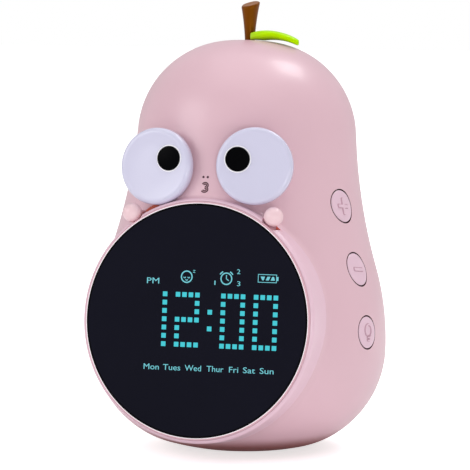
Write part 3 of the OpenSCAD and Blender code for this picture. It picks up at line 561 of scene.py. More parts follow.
def lathe(profile, origin, across, up, out, steps=96):
    """A profile of (radius, height) turned about out, as points and faces."""
    origin, across, up, out = (np.asarray(v, float) for v in (origin, across, up, out))
    t = turns(steps)
    circle_points = np.cos(t)[:, None] * across + np.sin(t)[:, None] * up
    rings, points, faces = [], [], []
    for r, h in profile:
        if r < 1e-9:
            rings.append([len(points)] * steps)
            points.append(origin + out * h)
        else:
            rings.append(list(range(len(points), len(points) + steps)))
            points += list(origin + out * h + r * circle_points)
    for a, b in zip(rings, rings[1:]):
        for k in range(steps):
            m = (k + 1) % steps
            loop = [a[k], a[m], b[m], b[k]]
            loop = [v for n, v in enumerate(loop) if v != loop[n - 1]]
            if len(loop) > 2:
                faces.append(loop)
    return np.array(points), faces


def ring_faces(rings, steps, first=0):
    """Faces between rings of points that follow each other."""
    faces = []
    for start in range(first, first + (rings - 1) * steps, steps):
        for k in range(steps):
            m = (k + 1) % steps
            faces.append([start + k, start + m, start + steps + m, start + steps + k])
    return faces


def fan_faces(first, steps, tip):
    """Faces between a ring of points and one point."""
    return [[first + k, first + (k + 1) % steps, tip] for k in range(steps)]


def prism_faces(n):
    """Faces of a prism whose two outlines of n points follow each other."""
    return ring_faces(2, n) + [list(range(n)), list(range(n, 2 * n))]


def oval(cx, cy, rx, ry, start, end, steps=20):
    """Points of a part of an oval, in degrees from its right side."""
    angles = [math.radians(start + (end - start) * k / steps) for k in range(steps + 1)]
    return [(cx + rx * math.cos(a), cy + ry * math.sin(a)) for a in angles]


def circle(cx, cy, r, steps=32):
    return oval(cx, cy, r, r, 0, 360, steps)[:-1]


def rounded(r, h, edge, steps=8):
    """Profile points of a rounded corner that ends a cylinder of radius r at height h."""
    return oval(r - edge, h - edge, edge, edge, 0, 90, steps)


def join_parts(*parts):
    """Points and faces of several parts as one."""
    points, faces, start = [], [], 0
    for p, f in parts:
        points.append(np.asarray(p, float))
        faces += [[v + start for v in face] for face in f]
        start += len(p)
    return np.vstack(points), faces


# ---- Shells ----
COLUMNS = 288
ROWS = (26, 76, 104)
FINE_START, FINE_END = math.radians(45.0), math.radians(60.0)
LAST_RING = math.radians(178.5)
RAY_END = 140.0


def ray_hits(directions, distance, near, far, steps=44):
    """Bisection on rays from the display's centre on the axis."""
    lo, hi = near, far
    for _ in range(steps):
        mid = (lo + hi) / 2
        out = distance(CENTRE + directions * mid[:, None]) > 0
        hi = np.where(out, mid, hi)
        lo = np.where(out, lo, mid)
    return (lo + hi) / 2


def crude_pear(p, grow=0.0):
    """Sideways distance to the pear: quick, and right in its sign."""
    return np.hypot(p[:, 0], p[:, 1]) - pear_radius(p[:, 2], grow)


def shell_mesh():
    """The whole hollow body, before it is cut: rings round the display's axis, rim to back."""
    rim_front = BOSS_FRONT - BOSS_EDGE + math.sqrt(BOSS_EDGE**2 - (BORE_R - BOSS_R + BOSS_EDGE)**2)
    theta = np.concatenate([
        np.linspace(math.atan2(BORE_R, rim_front), FINE_START, ROWS[0])[:-1],
        np.linspace(FINE_START, FINE_END, ROWS[1])[:-1],
        np.linspace(FINE_END, LAST_RING, ROWS[2]),
    ])
    phi = turns(COLUMNS)
    tt, pp = (grid.ravel() for grid in np.meshgrid(theta, phi, indexing="ij"))
    d = np.column_stack([np.sin(tt) * np.cos(pp), -np.cos(tt), np.sin(tt) * np.sin(pp)])
    near, far = np.full(len(d), 10.0), np.full(len(d), RAY_END)
    crude = ray_hits(d, lambda p: np.minimum(crude_pear(p), boss_distance(p)), near, far)
    outer_t = ray_hits(d, shell_distance, crude - 1.5, crude + 4)
    inner_t = ray_hits(d, lambda p: crude_pear(p, -WALL), near, far)
    past_bore = np.maximum(inner_t, BORE_R / np.maximum(np.sin(tt), 0.1))
    inner_t = np.where(np.cos(tt) > 0, past_bore, inner_t)
    down = turn_to_world(d)[:, 2]
    level = (DISPLAY_Z * math.cos(LEAN) - PAD_OUT - FLOOR_T) / np.maximum(-down, 1e-6)
    inner_t = np.where(down < 0, np.minimum(inner_t, level), inner_t)
    outer = CENTRE + d * outer_t[:, None]
    inner = CENTRE + d * inner_t[:, None]
    outer[:COLUMNS] = CENTRE + np.column_stack([
        BORE_R * np.cos(phi), np.full(COLUMNS, -rim_front), BORE_R * np.sin(phi)])
    back_out, back_in = ([0, surface_y(0, DISPLAY_Z, grow), DISPLAY_Z] for grow in (0, -WALL))
    points = np.vstack([outer, back_out, inner[COLUMNS:], back_in])
    top = len(outer)
    last = len(points) - 1
    faces = ring_faces(len(theta), COLUMNS) + fan_faces(top - COLUMNS, COLUMNS, top)
    for k in range(COLUMNS):
        m = (k + 1) % COLUMNS
        faces.append([k, top + 1 + k, top + 1 + m, m])
    faces += ring_faces(len(theta) - 1, COLUMNS, top + 1) + fan_faces(last - COLUMNS, COLUMNS, last)
    return points, faces


def cut(obj, parts, mode="DIFFERENCE"):
    """Cuts an object with closed parts, each given as its points and faces."""
    cutters = []
    for part in parts:
        cutter = mesh_object("cutter", *part)
        face_out(cutter)
        modifier = obj.modifiers.new("cut", "BOOLEAN")
        modifier.operation = mode
        modifier.solver = "MANIFOLD"
        modifier.object = cutter
        cutters.append(cutter)
    graph = bpy.context.evaluated_depsgraph_get()
    old = obj.data
    mesh = bpy.data.meshes.new_from_object(obj.evaluated_get(graph))
    obj.modifiers.clear()
    obj.data = mesh
    bpy.data.meshes.remove(old)
    for cutter in cutters:
        bpy.data.objects.remove(cutter)


def rod(origin, across, up, out, r, start, end, steps=64):
    """A cylinder along out, from start to end."""
    return lathe([(0, start), (r, start), (r, end), (0, end)], origin, across, up, out, steps)


def block(low, high):
    corners = np.array([[x, y, z] for x in (low[0], high[0]) for y in (low[1], high[1])
                        for z in (low[2], high[2])])
    return corners, [[0, 1, 3, 2], [4, 6, 7, 5], [0, 4, 5, 1], [2, 3, 7, 6], [0, 2, 6, 4],
                     [1, 5, 7, 3]]


def notch_place(side):
    return side * HAND_X + NOTCH_SHIFT[side], HAND_Z - NOTCH_SHIFT[side]


def button_place(i):
    """Place of a button on the axis plane; the buttons follow the housing's side."""
    return np.array([0, -(BUTTON_Y - i * BUTTON_BACK), BUTTON_Z - i * BUTTON_PITCH])


def sleeve_x(i):
    """Inner end of a button's sleeve: the whole flange clears the curved wall there."""
    _, y, z = button_place(i)
    r = min(pear_radius([z + SLEEVE_R, z - SLEEVE_R], -WALL))
    return math.sqrt(r * r - (SLEEVE_R - y)**2) - SLEEVE_SINK


def set_shell_normals(obj):
    """True normals on the outside; cut faces stay flat."""
    mesh = obj.data
    vertex_of = read(mesh.loops, "vertex_index", kind=int)
    pear = to_pear(read(mesh.vertices, "co", 3))
    off = np.abs(shell_distance(pear))
    own = turn_to_world(gradient(shell_distance, pear))[vertex_of]
    loop_face = np.repeat(read(mesh.polygons, "normal", 3),
                          read(mesh.polygons, "loop_total", kind=int), axis=0)
    good = (off[vertex_of] < 0.03) & (np.sum(own * loop_face, axis=1) > 0.8)
    mesh.polygons.foreach_set("use_smooth", [True] * len(mesh.polygons))
    mesh.normals_split_custom_set(np.where(good[:, None], own, loop_face).tolist())


def button_walls(centre, normal):
    """Walls of the three button holes, which get painted shade."""
    found = np.zeros(len(centre), bool)
    for i in range(3):
        off = np.linalg.norm((centre - button_place(i))[:, 1:], axis=1)
        found |= (off < BUTTON_R + BUTTON_GAP + 0.06) & (centre[:, 0] > BUTTON_BOARD_X)
    return found & (np.abs(normal[:, 0]) < 0.3)


def boss_ring_sheen(centre, normal):
    """Rounded front edge and wall of the boss, as far as the hollow where it meets the pear: the faces
    that get a painted sheen.
    """
    return (np.abs(boss_distance(centre)) < 0.08) & (centre[:, 1] < -BOSS_BACK - FILLET)


def hand_shade(centre, normal):
    """Faces that get painted shade: the right half of each hand's notch, and the gap between the boss
    and the left eye.
    """
    front = centre[:, 1] < -NOTCH_BACK + 0.1
    found = np.zeros(len(centre), bool)
    for side in SIDES:
        x, z = notch_place(side)
        off = np.hypot(centre[:, 0] - x, centre[:, 2] - z)
        found |= front & (off < NOTCH_R + 0.06) & (centre[:, 0] > x - 0.5)
    off = from_display(centre)
    gap = (off > BOSS_R) & (off < BOSS_R + 2.2) & (centre[:, 1] < -30)
    return found | (gap & (centre[:, 0] > -25.0) & (centre[:, 0] < -18.0) & (centre[:, 2] > 80))


def usb_slot():
    """A slot with round ends through the rear wall."""
    r, half = USB_H / 2, (USB_W - USB_H) / 2
    outline = oval(half, USB_Z, r, r, -90, 90, 16) + oval(-half, USB_Z, r, r, 90, 270, 16)
    points = [(x, y, z) for y in (COVER_CUT_Y, BIG) for x, z in outline]
    return np.array(points), prism_faces(len(outline))


def front_cuts():
    """What is cut for the cover, the buttons, the hands with their pegs, and the stem."""
    parts = [block((-BIG, SPLIT_Y, COVER_Z), (BIG, BIG, 2 * BIG)),
             rod((0, 0, BODY_H), X, Y, Z, STEM_HOLE_R, -STEM_HOLE_L, STEM_HOLE_L, 48)]
    for i in range(len(BUTTON_NAMES)):
        parts.append(rod(button_place(i), Y, Z, X, BUTTON_R + BUTTON_GAP, BUTTON_BOARD_X, BIG))
    for side in SIDES:
        x, z = notch_place(side)
        parts.append(rod((x, 0, z), X, Z, -Y, NOTCH_R, NOTCH_BACK, BIG))
        parts.append(rod(*hand_frame(side), HAND_PEG_R + 0.05, 0, HAND_PEG_L + 2, 24))
    return parts


def rear_cuts():
    """What is cut for the charging socket, the loudspeaker's grille and the screws' wells."""
    parts = [usb_slot()]
    for k in range(GRILLE_RINGS):
        for j in range(max(1, 6 * k)):
            a = math.radians(60 * j / k) if k else 0
            at = (k * GRILLE_PITCH * math.cos(a), 0, SPEAKER_Z + k * GRILLE_PITCH * math.sin(a))
            parts.append(rod(at, X, Z, Y, GRILLE_R, COVER_CUT_Y, BIG, 24))
    for x, z in COVER_SCREWS:
        parts.append(rod((x, 0, z), X, Z, Y, COVER_WELL_R, SPLIT_Y + COVER_WEB, BIG, 48))
    return parts


def build_shells():
    """Front shell and rear cover, cut from one hollow body."""
    body = mesh_object("shell_front", *shell_mesh(), MATERIALS["shell"])
    face_out(body)
    rear = link("shell_rear", body.data.copy())
    cut(body, front_cuts())
    cut(rear, [block((-BIG, SPLIT_Y + SEAM_GAP, COVER_Z + SEAM_GAP), (BIG, BIG, 2 * BIG))], "INTERSECT")
    cut(rear, rear_cuts())
    set_shell_normals(body)
    set_shell_normals(rear)
    # painted sheen on the boss's rounded edge and wall
    paint(body, RING_SHEEN, boss_ring_sheen)
    # painted shade on the walls of the button holes
    paint(body, GAP_SHADOW, button_walls)
    # painted shade in the hands' notches and by the left eye
    paint(body, NOTCH_SHADE, hand_shade)
    stand_for(body, "front_shell")
    stand_for(rear, "rear_cover")


def add_inside(name, parts):
    """A piece of the housing's inside that takes its finish from a node."""
    obj = mesh_object(name, *join_parts(*parts), MATERIALS["shell"])
    smooth_out(obj)
    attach(obj, "housing")


def build_cover_posts():
    """Cup round each screw's well, from the split back into the cover's wall."""
    start, web = SPLIT_Y + 0.1, SPLIT_Y + COVER_WEB
    cups = []
    for x, z in COVER_SCREWS:
        end = min(surface_y(abs(x) + near, z - near, -WALL / 2) for near in (0, 3))
        cups.append(lathe([(0, start), (COVER_POST_R, start), (COVER_POST_R, end),
                           (COVER_WELL_R, end), (COVER_WELL_R, web), (0, web)],
                          (x, 0, z), X, Z, Y, 48))
    add_inside("cover_posts", cups)


def build_sockets():
    """Drums behind the eyes."""
    start, end = -EYE_T / 2 - SOCKET_L, -EYE_T / 2 - 0.05
    drums = [rod(*eye_frame(side), SOCKET_R, start, end, 96) for side in SIDES]
    add_inside("eye_sockets", drums)


def hand_frame(side):
    """Origin of a hand, and its axes; the last runs back along the peg."""
    c, s = math.cos(HAND_PEG_TURN), side * math.sin(HAND_PEG_TURN)
    return (side * HAND_X, -HAND_FRONT, HAND_Z), (c, s, 0), Z, (-s, c, 0)


# ---- Eyes and hands ----
def build_eye(side):
    """White disc with a shallow dish, a thin lip round the pupil that carries a painted highlight, and
    the pupil.
    """
    o, *axes = eye_frame(side)
    half = EYE_T / 2
    face = half - EYE_DISH
    flat = EYE_R - EYE_EDGE
    profile = [(0, -half), (EYE_R - 0.4, -half), (EYE_R - 0.12, -half + 0.12), (EYE_R, -half + 0.4)]
    profile += rounded(EYE_R, half, EYE_EDGE, 12)
    profile += [(flat - 0.35, half - 0.01), (flat - 0.8, half - 0.05), (flat - 1.4, face),
                (6, face), (0, face)]
    name = "eye_" + SIDES[side]
    place = o + axes[0] * (PUPIL_SHIFT - side * PUPIL_IN) + axes[1] * PUPIL_UP[side]
    inner = PUPIL_R + LIP_GAP
    outer = inner + LIP_W
    lip = [(inner, face - 0.2), (outer, face - 0.2), (outer, face + 0.06), (outer - 0.08, half),
           (inner + 0.07, half), (inner, face + 0.06), (inner, face - 0.2)]
    disc = lathe(profile, o, *axes, 128)
    obj = mesh_object(name + "_disc", *join_parts(disc, lathe(lip, place, *axes)), MATERIALS["eye"])
    # painted highlight on the lip round the pupil
    paint_faces(obj, PUPIL_RING_HIGHLIGHT, len(disc[1]), None)
    smooth_out(obj, 40, weld=True)
    stand_for(obj, name)
    name = "pupil_" + SIDES[side]
    top = half + PUPIL_TOP
    profile = [(0, face - 0.3), (PUPIL_R, face - 0.3), *rounded(PUPIL_R, top, PUPIL_EDGE, 6), (0, top)]
    obj = mesh_object(name + "_disc", *lathe(profile, place, *axes), MATERIALS["pupil"])
    smooth_out(obj, 40)
    stand_for(obj, name)


def build_hand(side):
    """Ball on a peg."""
    neck = HAND_R * HAND_NECK
    t = np.linspace(-math.pi / 2, math.asin(HAND_NECK), 36)[1:]
    profile = [(0, -HAND_R)] + [(HAND_R * math.cos(a), HAND_R * math.sin(a)) for a in t]
    profile += [(HAND_PEG_R + 0.05, neck + 0.05), (HAND_PEG_R, neck + 0.3), (HAND_PEG_R, HAND_PEG_L),
                (0, HAND_PEG_L)]
    name = "hand_" + SIDES[side]
    obj = mesh_object(name + "_ball", *lathe(profile, *hand_frame(side), 64), HAND_PINK)
    smooth_out(obj, 50)
    stand_for(obj, name)


# ---- Stem and leaf ----
def stem_flare(h):
    """Radius of the stem at a height: straight at first, then a curved flare."""
    t = h / (STEM_H + STEM_TOP_R * math.tan(STEM_SLOPE))
    return STEM_R + (STEM_TOP_R - STEM_R) * (0.35 * t + 0.65 * t * t)


def stem_fall(t):
    """How far the slanted end of the tilted stem falls for each millimetre outwards."""
    tilt_c, tilt_s = math.cos(STEM_TILT), math.sin(STEM_TILT)
    x = math.sin(STEM_SLOPE) * math.cos(STEM_TURN)
    y, z = math.sin(STEM_SLOPE) * math.sin(STEM_TURN), math.cos(STEM_SLOPE)
    return (x * np.cos(t) + (y * tilt_c + z * tilt_s) * np.sin(t)) / (z * tilt_c - y * tilt_s)


def build_stem():
    """Flared stem, tilted forwards, whose upper end is slanted and softly rounded."""
    steps = 72
    t = turns(steps)
    fall = stem_fall(t)
    end_h = np.full(steps, STEM_H)
    for _ in range(20):
        end_h = STEM_H - fall * stem_flare(end_h)
    rings = []

    def add_ring(r, h):
        rings.append(np.column_stack([r * np.cos(t), r * np.sin(t), h]))

    for share in np.linspace(0, 1, 24):
        h = share * (end_h - STEM_EDGE + STEM_SINK) - STEM_SINK
        rough = 1 + 0.02 * np.sin(5 * t + 0.5) * np.clip(h / 12, 0, 1)
        add_ring(stem_flare(np.maximum(h, 0)) * rough, h)
    side_rings = len(rings) + 3
    rim = np.linalg.norm(rings[-1][:, :2], axis=1)
    for a in np.linspace(0, math.pi / 2, 7)[1:]:
        r = rim - STEM_EDGE + STEM_EDGE * math.cos(a)
        add_ring(r, STEM_H - fall * r - STEM_EDGE + STEM_EDGE * math.sin(a))
    for share in (0.8, 0.6, 0.4, 0.2):
        r = (rim - STEM_EDGE) * share
        add_ring(r, STEM_H - fall * r - STEM_DIP * (1 - share))
    local = np.vstack(rings + [[[0, 0, STEM_H - STEM_DIP]], [[0, 0, -STEM_SINK]]])
    c, s = math.cos(STEM_TILT), math.sin(STEM_TILT)
    points = np.column_stack([STEM_X + local[:, 0], local[:, 1] * c - local[:, 2] * s,
                              BODY_H + local[:, 1] * s + local[:, 2] * c])
    last = (len(rings) - 1) * steps
    faces = ring_faces(len(rings), steps)
    faces += fan_faces(last, steps, last + steps) + fan_faces(0, steps, last + steps + 1)
    obj = mesh_object("stem_rod", points, faces, MATERIALS["stem"])
    paint_faces(obj, STEM_END, side_rings * steps, last + steps)
    smooth_out(obj, 60)
    stand_for(obj, "stem")


def build_leaf():
    """Arched leaf with rounded edges and a soft crease down its middle."""
    half_l, half_w = LEAF_L / 2, LEAF_W / 2
    side_r = (half_l**2 + half_w**2) / (2 * half_w)
    rows, around = 64, 40
    arch_x = LEAF_X + LEAF_L * 0.36
    arch_z = BODY_H + LEAF_TOP - LEAF_ARCH
    a = turns(around)
    c, s = np.cos(a), np.sin(a)
    rings = []
    for turn in np.linspace(0, math.pi, rows):
        share = 0.5 - 0.5 * math.cos(turn)
        from_tip = min(share, 1 - share)
        u = -half_l + 0.5 + (LEAF_L - 1) * share
        blunt = math.sqrt(max(1 - max(0, 1 - from_tip / 0.02)**2, 0.0004))
        wide = (math.sqrt(side_r**2 - u * u) - (side_r - half_w)) * blunt
        x = LEAF_X + half_l + u
        top = arch_z + math.sqrt(LEAF_ARCH**2 - (x - arch_x)**2)
        low = arch_z - LEAF_T + math.sqrt(LEAF_ARCH**2 - (x - arch_x - LEAF_SKEW)**2)
        crown = crown_c[1] + math.sqrt(CROWN_R**2 - x * x - LEAF_Y**2)
        low = min(max(low, crown + LEAF_CLEAR), top - LEAF_MIN_T)
        thick = (top - low) / 2 * blunt
        y = wide * np.sign(c) * np.abs(c)**0.8
        z = thick * np.sign(s) * np.abs(s)**0.8
        z = z - LEAF_CREASE * np.exp(-(y / 0.5)**2) * (s > 0) * min(1, 6 * from_tip)
        rings.append(np.column_stack([np.full(around, x), LEAF_Y + y, (top + low) / 2 + z]))
    ends = [list(range(around)), list(range((rows - 1) * around, rows * around))]
    obj = mesh_object("leaf_blade", np.vstack(rings), ring_faces(rows, around) + ends, MATERIALS["leaf"])
    smooth_out(obj, 60)
    stand_for(obj, "leaf")


# ---- Buttons ----
def box_distance(u, v, half_u, half_v, edge):
    """Signed distance to a rectangle with rounded corners."""
    return corner_distance(np.abs(u) - half_u + edge, np.abs(v) - half_v + edge, edge)


def icon_distance(i, u, v):
    """Signed distance to the raised plus, minus or lamp; u runs forwards, v runs up."""
    level_bar = box_distance(u, v, BAR_L, BAR_W, BAR_EDGE)
    if i == 0:
        return np.minimum(level_bar, box_distance(u, v, BAR_W, BAR_L, BAR_EDGE))
    if i == 1:
        return level_bar
    bulb = np.abs(np.hypot(u, v - 0.7) - 2.1) - 0.38
    neck = box_distance(u, v + 1.75, 1.1, 0.33, 0.2)
    tip = box_distance(u, v + 2.75, 1.0, 0.33, 0.2)
    return np.minimum(np.maximum(bulb, -(v + 1.2)), np.minimum(neck, tip))


def build_button(i):
    """Cap that follows the pear, with a rounded edge and a raised mark, on its flange and post."""
    o = button_place(i)
    steps = 144
    flat_r = BUTTON_R - BUTTON_EDGE
    bend = np.linspace(0, math.pi / 2, 10)[1:]
    radii = np.concatenate([np.linspace(0, flat_r, 64)[1:], flat_r + BUTTON_EDGE * np.sin(bend)])
    t = turns(steps)
    r, a = (grid.ravel()[steps - 1:] for grid in np.meshgrid([0, *radii], t, indexing="ij"))
    u, v = r * np.cos(a), r * np.sin(a)
    y, z = o[1] - u, o[2] + v
    over = np.clip(r - flat_r, 0, BUTTON_EDGE)
    x = surface_y(y, z, BUTTON_PROUD) - (BUTTON_EDGE - np.sqrt(BUTTON_EDGE**2 - over * over))
    raised = np.clip(0.5 - icon_distance(i, u, v) / ICON_SLOPE, 0, 1)
    x = x + ICON_H * raised * raised * (3 - 2 * raised)
    back = sleeve_x(i) - FLANGE_GAP
    start = back - FLANGE_T
    base = np.column_stack([np.full(steps, start), o[1] - BUTTON_R * np.cos(t),
                            o[2] + BUTTON_R * np.sin(t)])
    points = np.vstack([np.column_stack([x, y, z]), base, [[start, o[1], o[2]]]])
    last = len(points) - 1
    faces = fan_faces(1, steps, 0) + ring_faces(len(radii) + 1, steps, 1)
    faces += fan_faces(last - steps, steps, last)
    flange = rod(o, Y, Z, X, FLANGE_R, start, back)
    post_start = BUTTON_BOARD_X + SWITCH_H + PLUNGER_H + BUTTON_TRAVEL + FLANGE_GAP
    post = rod(o, Y, Z, X, POST_R, post_start, start, 24)
    name = BUTTON_NAMES[i]
    obj = mesh_object(name + "_cap", *join_parts((points, faces), flange, post), MATERIALS["button"])

    def side_wall(centre, normal):
        return (np.abs(normal[:, 0]) < 0.3) & (centre[:, 0] > back + 0.1)

    def icon_edge_shade(centre, normal):
        off = icon_distance(i, o[1] - centre[:, 1], centre[:, 2] - o[2])
        return (np.abs(off) < 0.15) & (centre[:, 0] > back + 0.1)

    # painted shade on the cap's side below the shell, inside the gap
    paint(obj, GAP_SHADOW, side_wall)
    # painted shade round the raised mark
    paint(obj, ICON_SHADE, icon_edge_shade)
    smooth_out(obj, 60)
    stand_for(obj, name, name)


# ---- Lens and rim ----
def build_lens():
    """Smoked lens, with painted shade: a black band round its edge."""
    profile = [(0, LENS_BACK), (LENS_R, LENS_BACK), *rounded(LENS_R, LENS_FRONT, 0.25, 6),
               (LENS_R - LENS_SHADE_W, LENS_FRONT), (0, LENS_FRONT)]
    obj = mesh_object("lens_disc", *lathe(profile, CENTRE, X, Z, -Y, 192), MATERIALS["lens"])
    # painted shade: black band at the lens's edge
    paint_ring(obj, LENS_R - LENS_SHADE_W, LENS_R, LENS_EDGE_SHADE)
    smooth_out(obj)
    stand_for(obj, "display_lens")


def build_rim():
    """Rim whose rounded front stands round the lens, on a sleeve that runs back to the ledge."""
    ledge, sleeve_r, groove = LENS_FRONT - LEDGE_DEPTH, BORE_R - 0.1, LENS_FRONT - 0.6
    inner, seat, wall = LENS_R + 0.03, 38.6, 39.5
    profile = [(wall, ledge), (sleeve_r, ledge), (sleeve_r, groove - 0.05), (RIM_R, groove)]
    mid, half = (RIM_R + inner) / 2, (RIM_R - inner) / 2
    profile += oval(mid, LENS_FRONT - half, half, half, 0, 180, 12)
    profile += [(inner, LENS_BACK), (seat, LENS_BACK), (seat, LENS_BACK - 1), (wall, LENS_BACK - 1),
                (wall, ledge)]
    obj = mesh_object("lens_rim", *lathe(profile, CENTRE, X, Z, -Y, 192), MATERIALS["rim"])
    # painted shade: black on the rim's inner rounding, next to the lens
    paint_ring(obj, 0, LENS_R + 0.09, LENS_EDGE_SHADE)
    paint_ring(obj, RIM_R - 0.13, BOSS_R, RIM_STEP)
    smooth_out(obj, weld=True)
    stand_for(obj, "display_bezel")


# ---- Lit dots, words and symbols ----
FULL = {(c, r) for c in range(4) for r in range(7)}
ZERO = {(c, r) for c, r in FULL if c in (0, 3) or r in (0, 6)}
TWO = {(c, r) for c, r in FULL if r in (0, 3, 6) or (c == 3 and r < 3) or (c == 0 and r > 3)}
ONE = {(3, r) for r in range(7)}
COLON = [(0, 2), (0, 4)]
CAPITAL_H = 0.729
WORDS = (  # text, height, place and width
    ("PM", 2.15, -16.49, 13.61, 4.6), ("Mon", 2.1, -15.95, -16.54, 5.7),
    ("Tues", 2.1, -8.33, -16.51, 6.45), ("Wed", 2.1, -0.39, -16.47, 6.05),
    ("Thur", 2.1, 7.81, -16.44, 6.25), ("Fri", 2.1, 14.68, -16.41, 3.4),
    ("Sat", 2.1, 20.36, -16.38, 4.45), ("Sun", 2.1, 26.82, -16.35, 5.1))
SYMBOL_R = 1.98
SYMBOL_LINE = 0.42
SLEEPING_FACE = (-3.99, 15.27)
BELL_CLOCK = (10.73, 15.05)
CELL = (25.8, 15.63)
CELL_W, CELL_H = 3.35, 1.35
ALARM_NUMBERS = (("1", 1.6, -4.17, -1.48, 0.42), ("2", 1.75, 4.44, 2.67, 1.2),
                 ("3", 1.75, 4.61, -1.52, 1.2))
CELL_BARS = ((-1.9, -1.3, -2.5, -0.9), (-0.6, 0.5, 0.0, 1.1), (1.2, 2.8, 1.8, 2.4))


def display_points(uvw):
    """(across, up, in front of the lens) to the pear's frame."""
    p = np.array(uvw, float)
    return np.column_stack([p[:, 0], -(LENS_FRONT + p[:, 2]), DISPLAY_Z + p[:, 1]])


def dot_outline(cx, cy):
    """Square with rounded corners."""
    points, half = [], DOT / 2 - DOT_EDGE
    for x, y, start in ((1, 1, 0), (-1, 1, 90), (-1, -1, 180), (1, -1, 270)):
        points += oval(cx + x * half, cy + y * half, DOT_EDGE, DOT_EDGE, start, start + 90, 4)
    return points


def box(x, y, half_w, half_h):
    """Corners of a rectangle round a place."""
    return [(x - half_w, y - half_h), (x + half_w, y - half_h), (x + half_w, y + half_h),
            (x - half_w, y + half_h)]


def tile(outline):
    """Closed thin plate on the lens from an outline of (across, up)."""
    points = [(x, y, z) for z in (LIFT, SINK) for x, y in outline]
    return display_points(points), prism_faces(len(outline))


def stroke(path, width, closed=False):
    """Closed thin plate that follows a path of (across, up) points."""
    p = np.array(path, float)
    n = len(p)
    ahead = np.roll(p, -1, 0) - p
    behind = p - np.roll(p, 1, 0)
    if not closed:
        ahead[-1] = behind[-1]
        behind[0] = ahead[0]
    way = unit(unit(ahead) + unit(behind))
    normal = np.column_stack([-way[:, 1], way[:, 0]]) * width / 2
    corners = ((p + normal, LIFT), (p - normal, LIFT), (p - normal, SINK), (p + normal, SINK))
    points = [(*side[k], z) for k in range(n) for side, z in corners]
    first, last = range(4), range(4 * n - 4, 4 * n)
    faces = ring_faces(n, 4)
    if closed:
        faces += [[last[k - 1], last[k], first[k], first[k - 1]] for k in range(4)]
    else:
        faces += [list(first), list(last)]
    return display_points(points), faces


def lettering(text, high, cx, cy, width):
    """Plain sans letters as a thin plate round a place; high is the height of a capital."""
    curve = bpy.data.curves.new("letters", "FONT")
    curve.body = text
    curve.align_x = "CENTER"
    curve.resolution_u = 3
    obj = link("letters", curve)
    graph = bpy.context.evaluated_depsgraph_get()
    mesh = bpy.data.meshes.new_from_object(obj.evaluated_get(graph))
    bpy.data.objects.remove(obj)
    co = np.array([v.co[:2] for v in mesh.vertices])
    low, top = co.min(0), co.max(0)
    x = cx + (co[:, 0] - (low[0] + top[0]) / 2) * width / (top[0] - low[0])
    y = cy - high / 2 + co[:, 1] * high / CAPITAL_H
    n = len(co)
    points = np.column_stack([np.tile(x, 2), np.tile(y, 2), np.repeat([LIFT, SINK], n)])
    faces, edges = [], set()
    for polygon in mesh.polygons:
        loop = list(polygon.vertices)
        faces += [loop, [v + n for v in reversed(loop)]]
        edges.update(zip(loop, loop[1:] + loop[:1]))
    faces += [[b, a, a + n, b + n] for a, b in sorted(edges) if (b, a) not in edges]
    bpy.data.meshes.remove(mesh)
    return display_points(points), faces


def show(name, parts, material):
    """One piece of print or light from several plates."""
    obj = mesh_object(name, *join_parts(*parts), material)
    face_out(obj)
    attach(obj, "housing")


def digits():
    dots = list(COLON)
    for start, shape in zip(DIGIT_START, (ONE, TWO, ZERO, ZERO)):
        dots += [(start + c, r) for c, r in sorted(shape)]
    return [tile(dot_outline(DIGITS_X + c * PITCH_X, DIGITS_Z + (3 - r) * PITCH_Z)) for c, r in dots]


def sleeping_face(x, y):
    parts = [stroke(circle(x, y, SYMBOL_R), SYMBOL_LINE, True)]
    for side in SIDES:
        parts.append(stroke(oval(x + side * 0.75, y - 0.05, 0.36, 0.36, 180, 360, 8), 0.28))
    parts.append(stroke(oval(x, y - 0.8, 0.42, 0.42, 200, 340, 8), 0.28))
    x, y, half = x + 2.69, y + 1.92, 0.38
    letter_z = [(x - half, y + half), (x + half, y + half), (x - half, y - half), (x + half, y - half)]
    return parts + [stroke(letter_z, 0.25)]


def bell_clock(x, y):
    parts = [stroke(circle(x, y, SYMBOL_R), SYMBOL_LINE, True)]
    parts.append(stroke([(x, y + 1.3), (x, y), (x + 0.9, y - 0.65)], 0.32))
    for start in (32, 118):
        parts.append(stroke(oval(x, y, 2.75, 2.75, start, start + 30, 6), SYMBOL_LINE))
    for text, high, right, up, width in ALARM_NUMBERS:
        parts.append(lettering(text, high, x + right, y + up, width))
    return parts


def cell(x, y):
    """Outline of a battery with its contact and three slanted bars."""
    parts = [stroke(box(x, y, CELL_W, CELL_H), 0.32, True), tile(box(x + CELL_W + 0.43, y, 0.27, 0.7))]
    for low_l, low_r, top_l, top_r in CELL_BARS:
        low, top = y - 0.65, y + 0.65
        parts.append(tile([(x + low_l, low), (x + low_r, low), (x + top_r, top), (x + top_l, top)]))
    return parts


def build_display():
    show("digits", digits(), CYAN)
    show("words", [lettering(*word) for word in WORDS], PALE_CYAN)
    show("symbols", sleeping_face(*SLEEPING_FACE) + bell_clock(*BELL_CLOCK) + cell(*CELL), PALE_CYAN)


# ---- Small face marks on the shell ----
def on_shell(x, z, lift):
    """Points at a height above the front of the head."""
    p = np.column_stack([x, -surface_y(x, z), z])
    return p + gradient(pear_distance, p) * lift


def shell_stroke(path, width, closed=False, lift=0.05):
    """The same thin plate as stroke, laid on the front of the head."""
    points, faces = stroke(path, width, closed)
    x, z = points[:, 0], points[:, 2] - DISPLAY_Z
    raised = -points[:, 1] - LENS_FRONT > LIFT / 2
    return np.where(raised[:, None], on_shell(x, z, lift), on_shell(x, z, -0.1)), faces


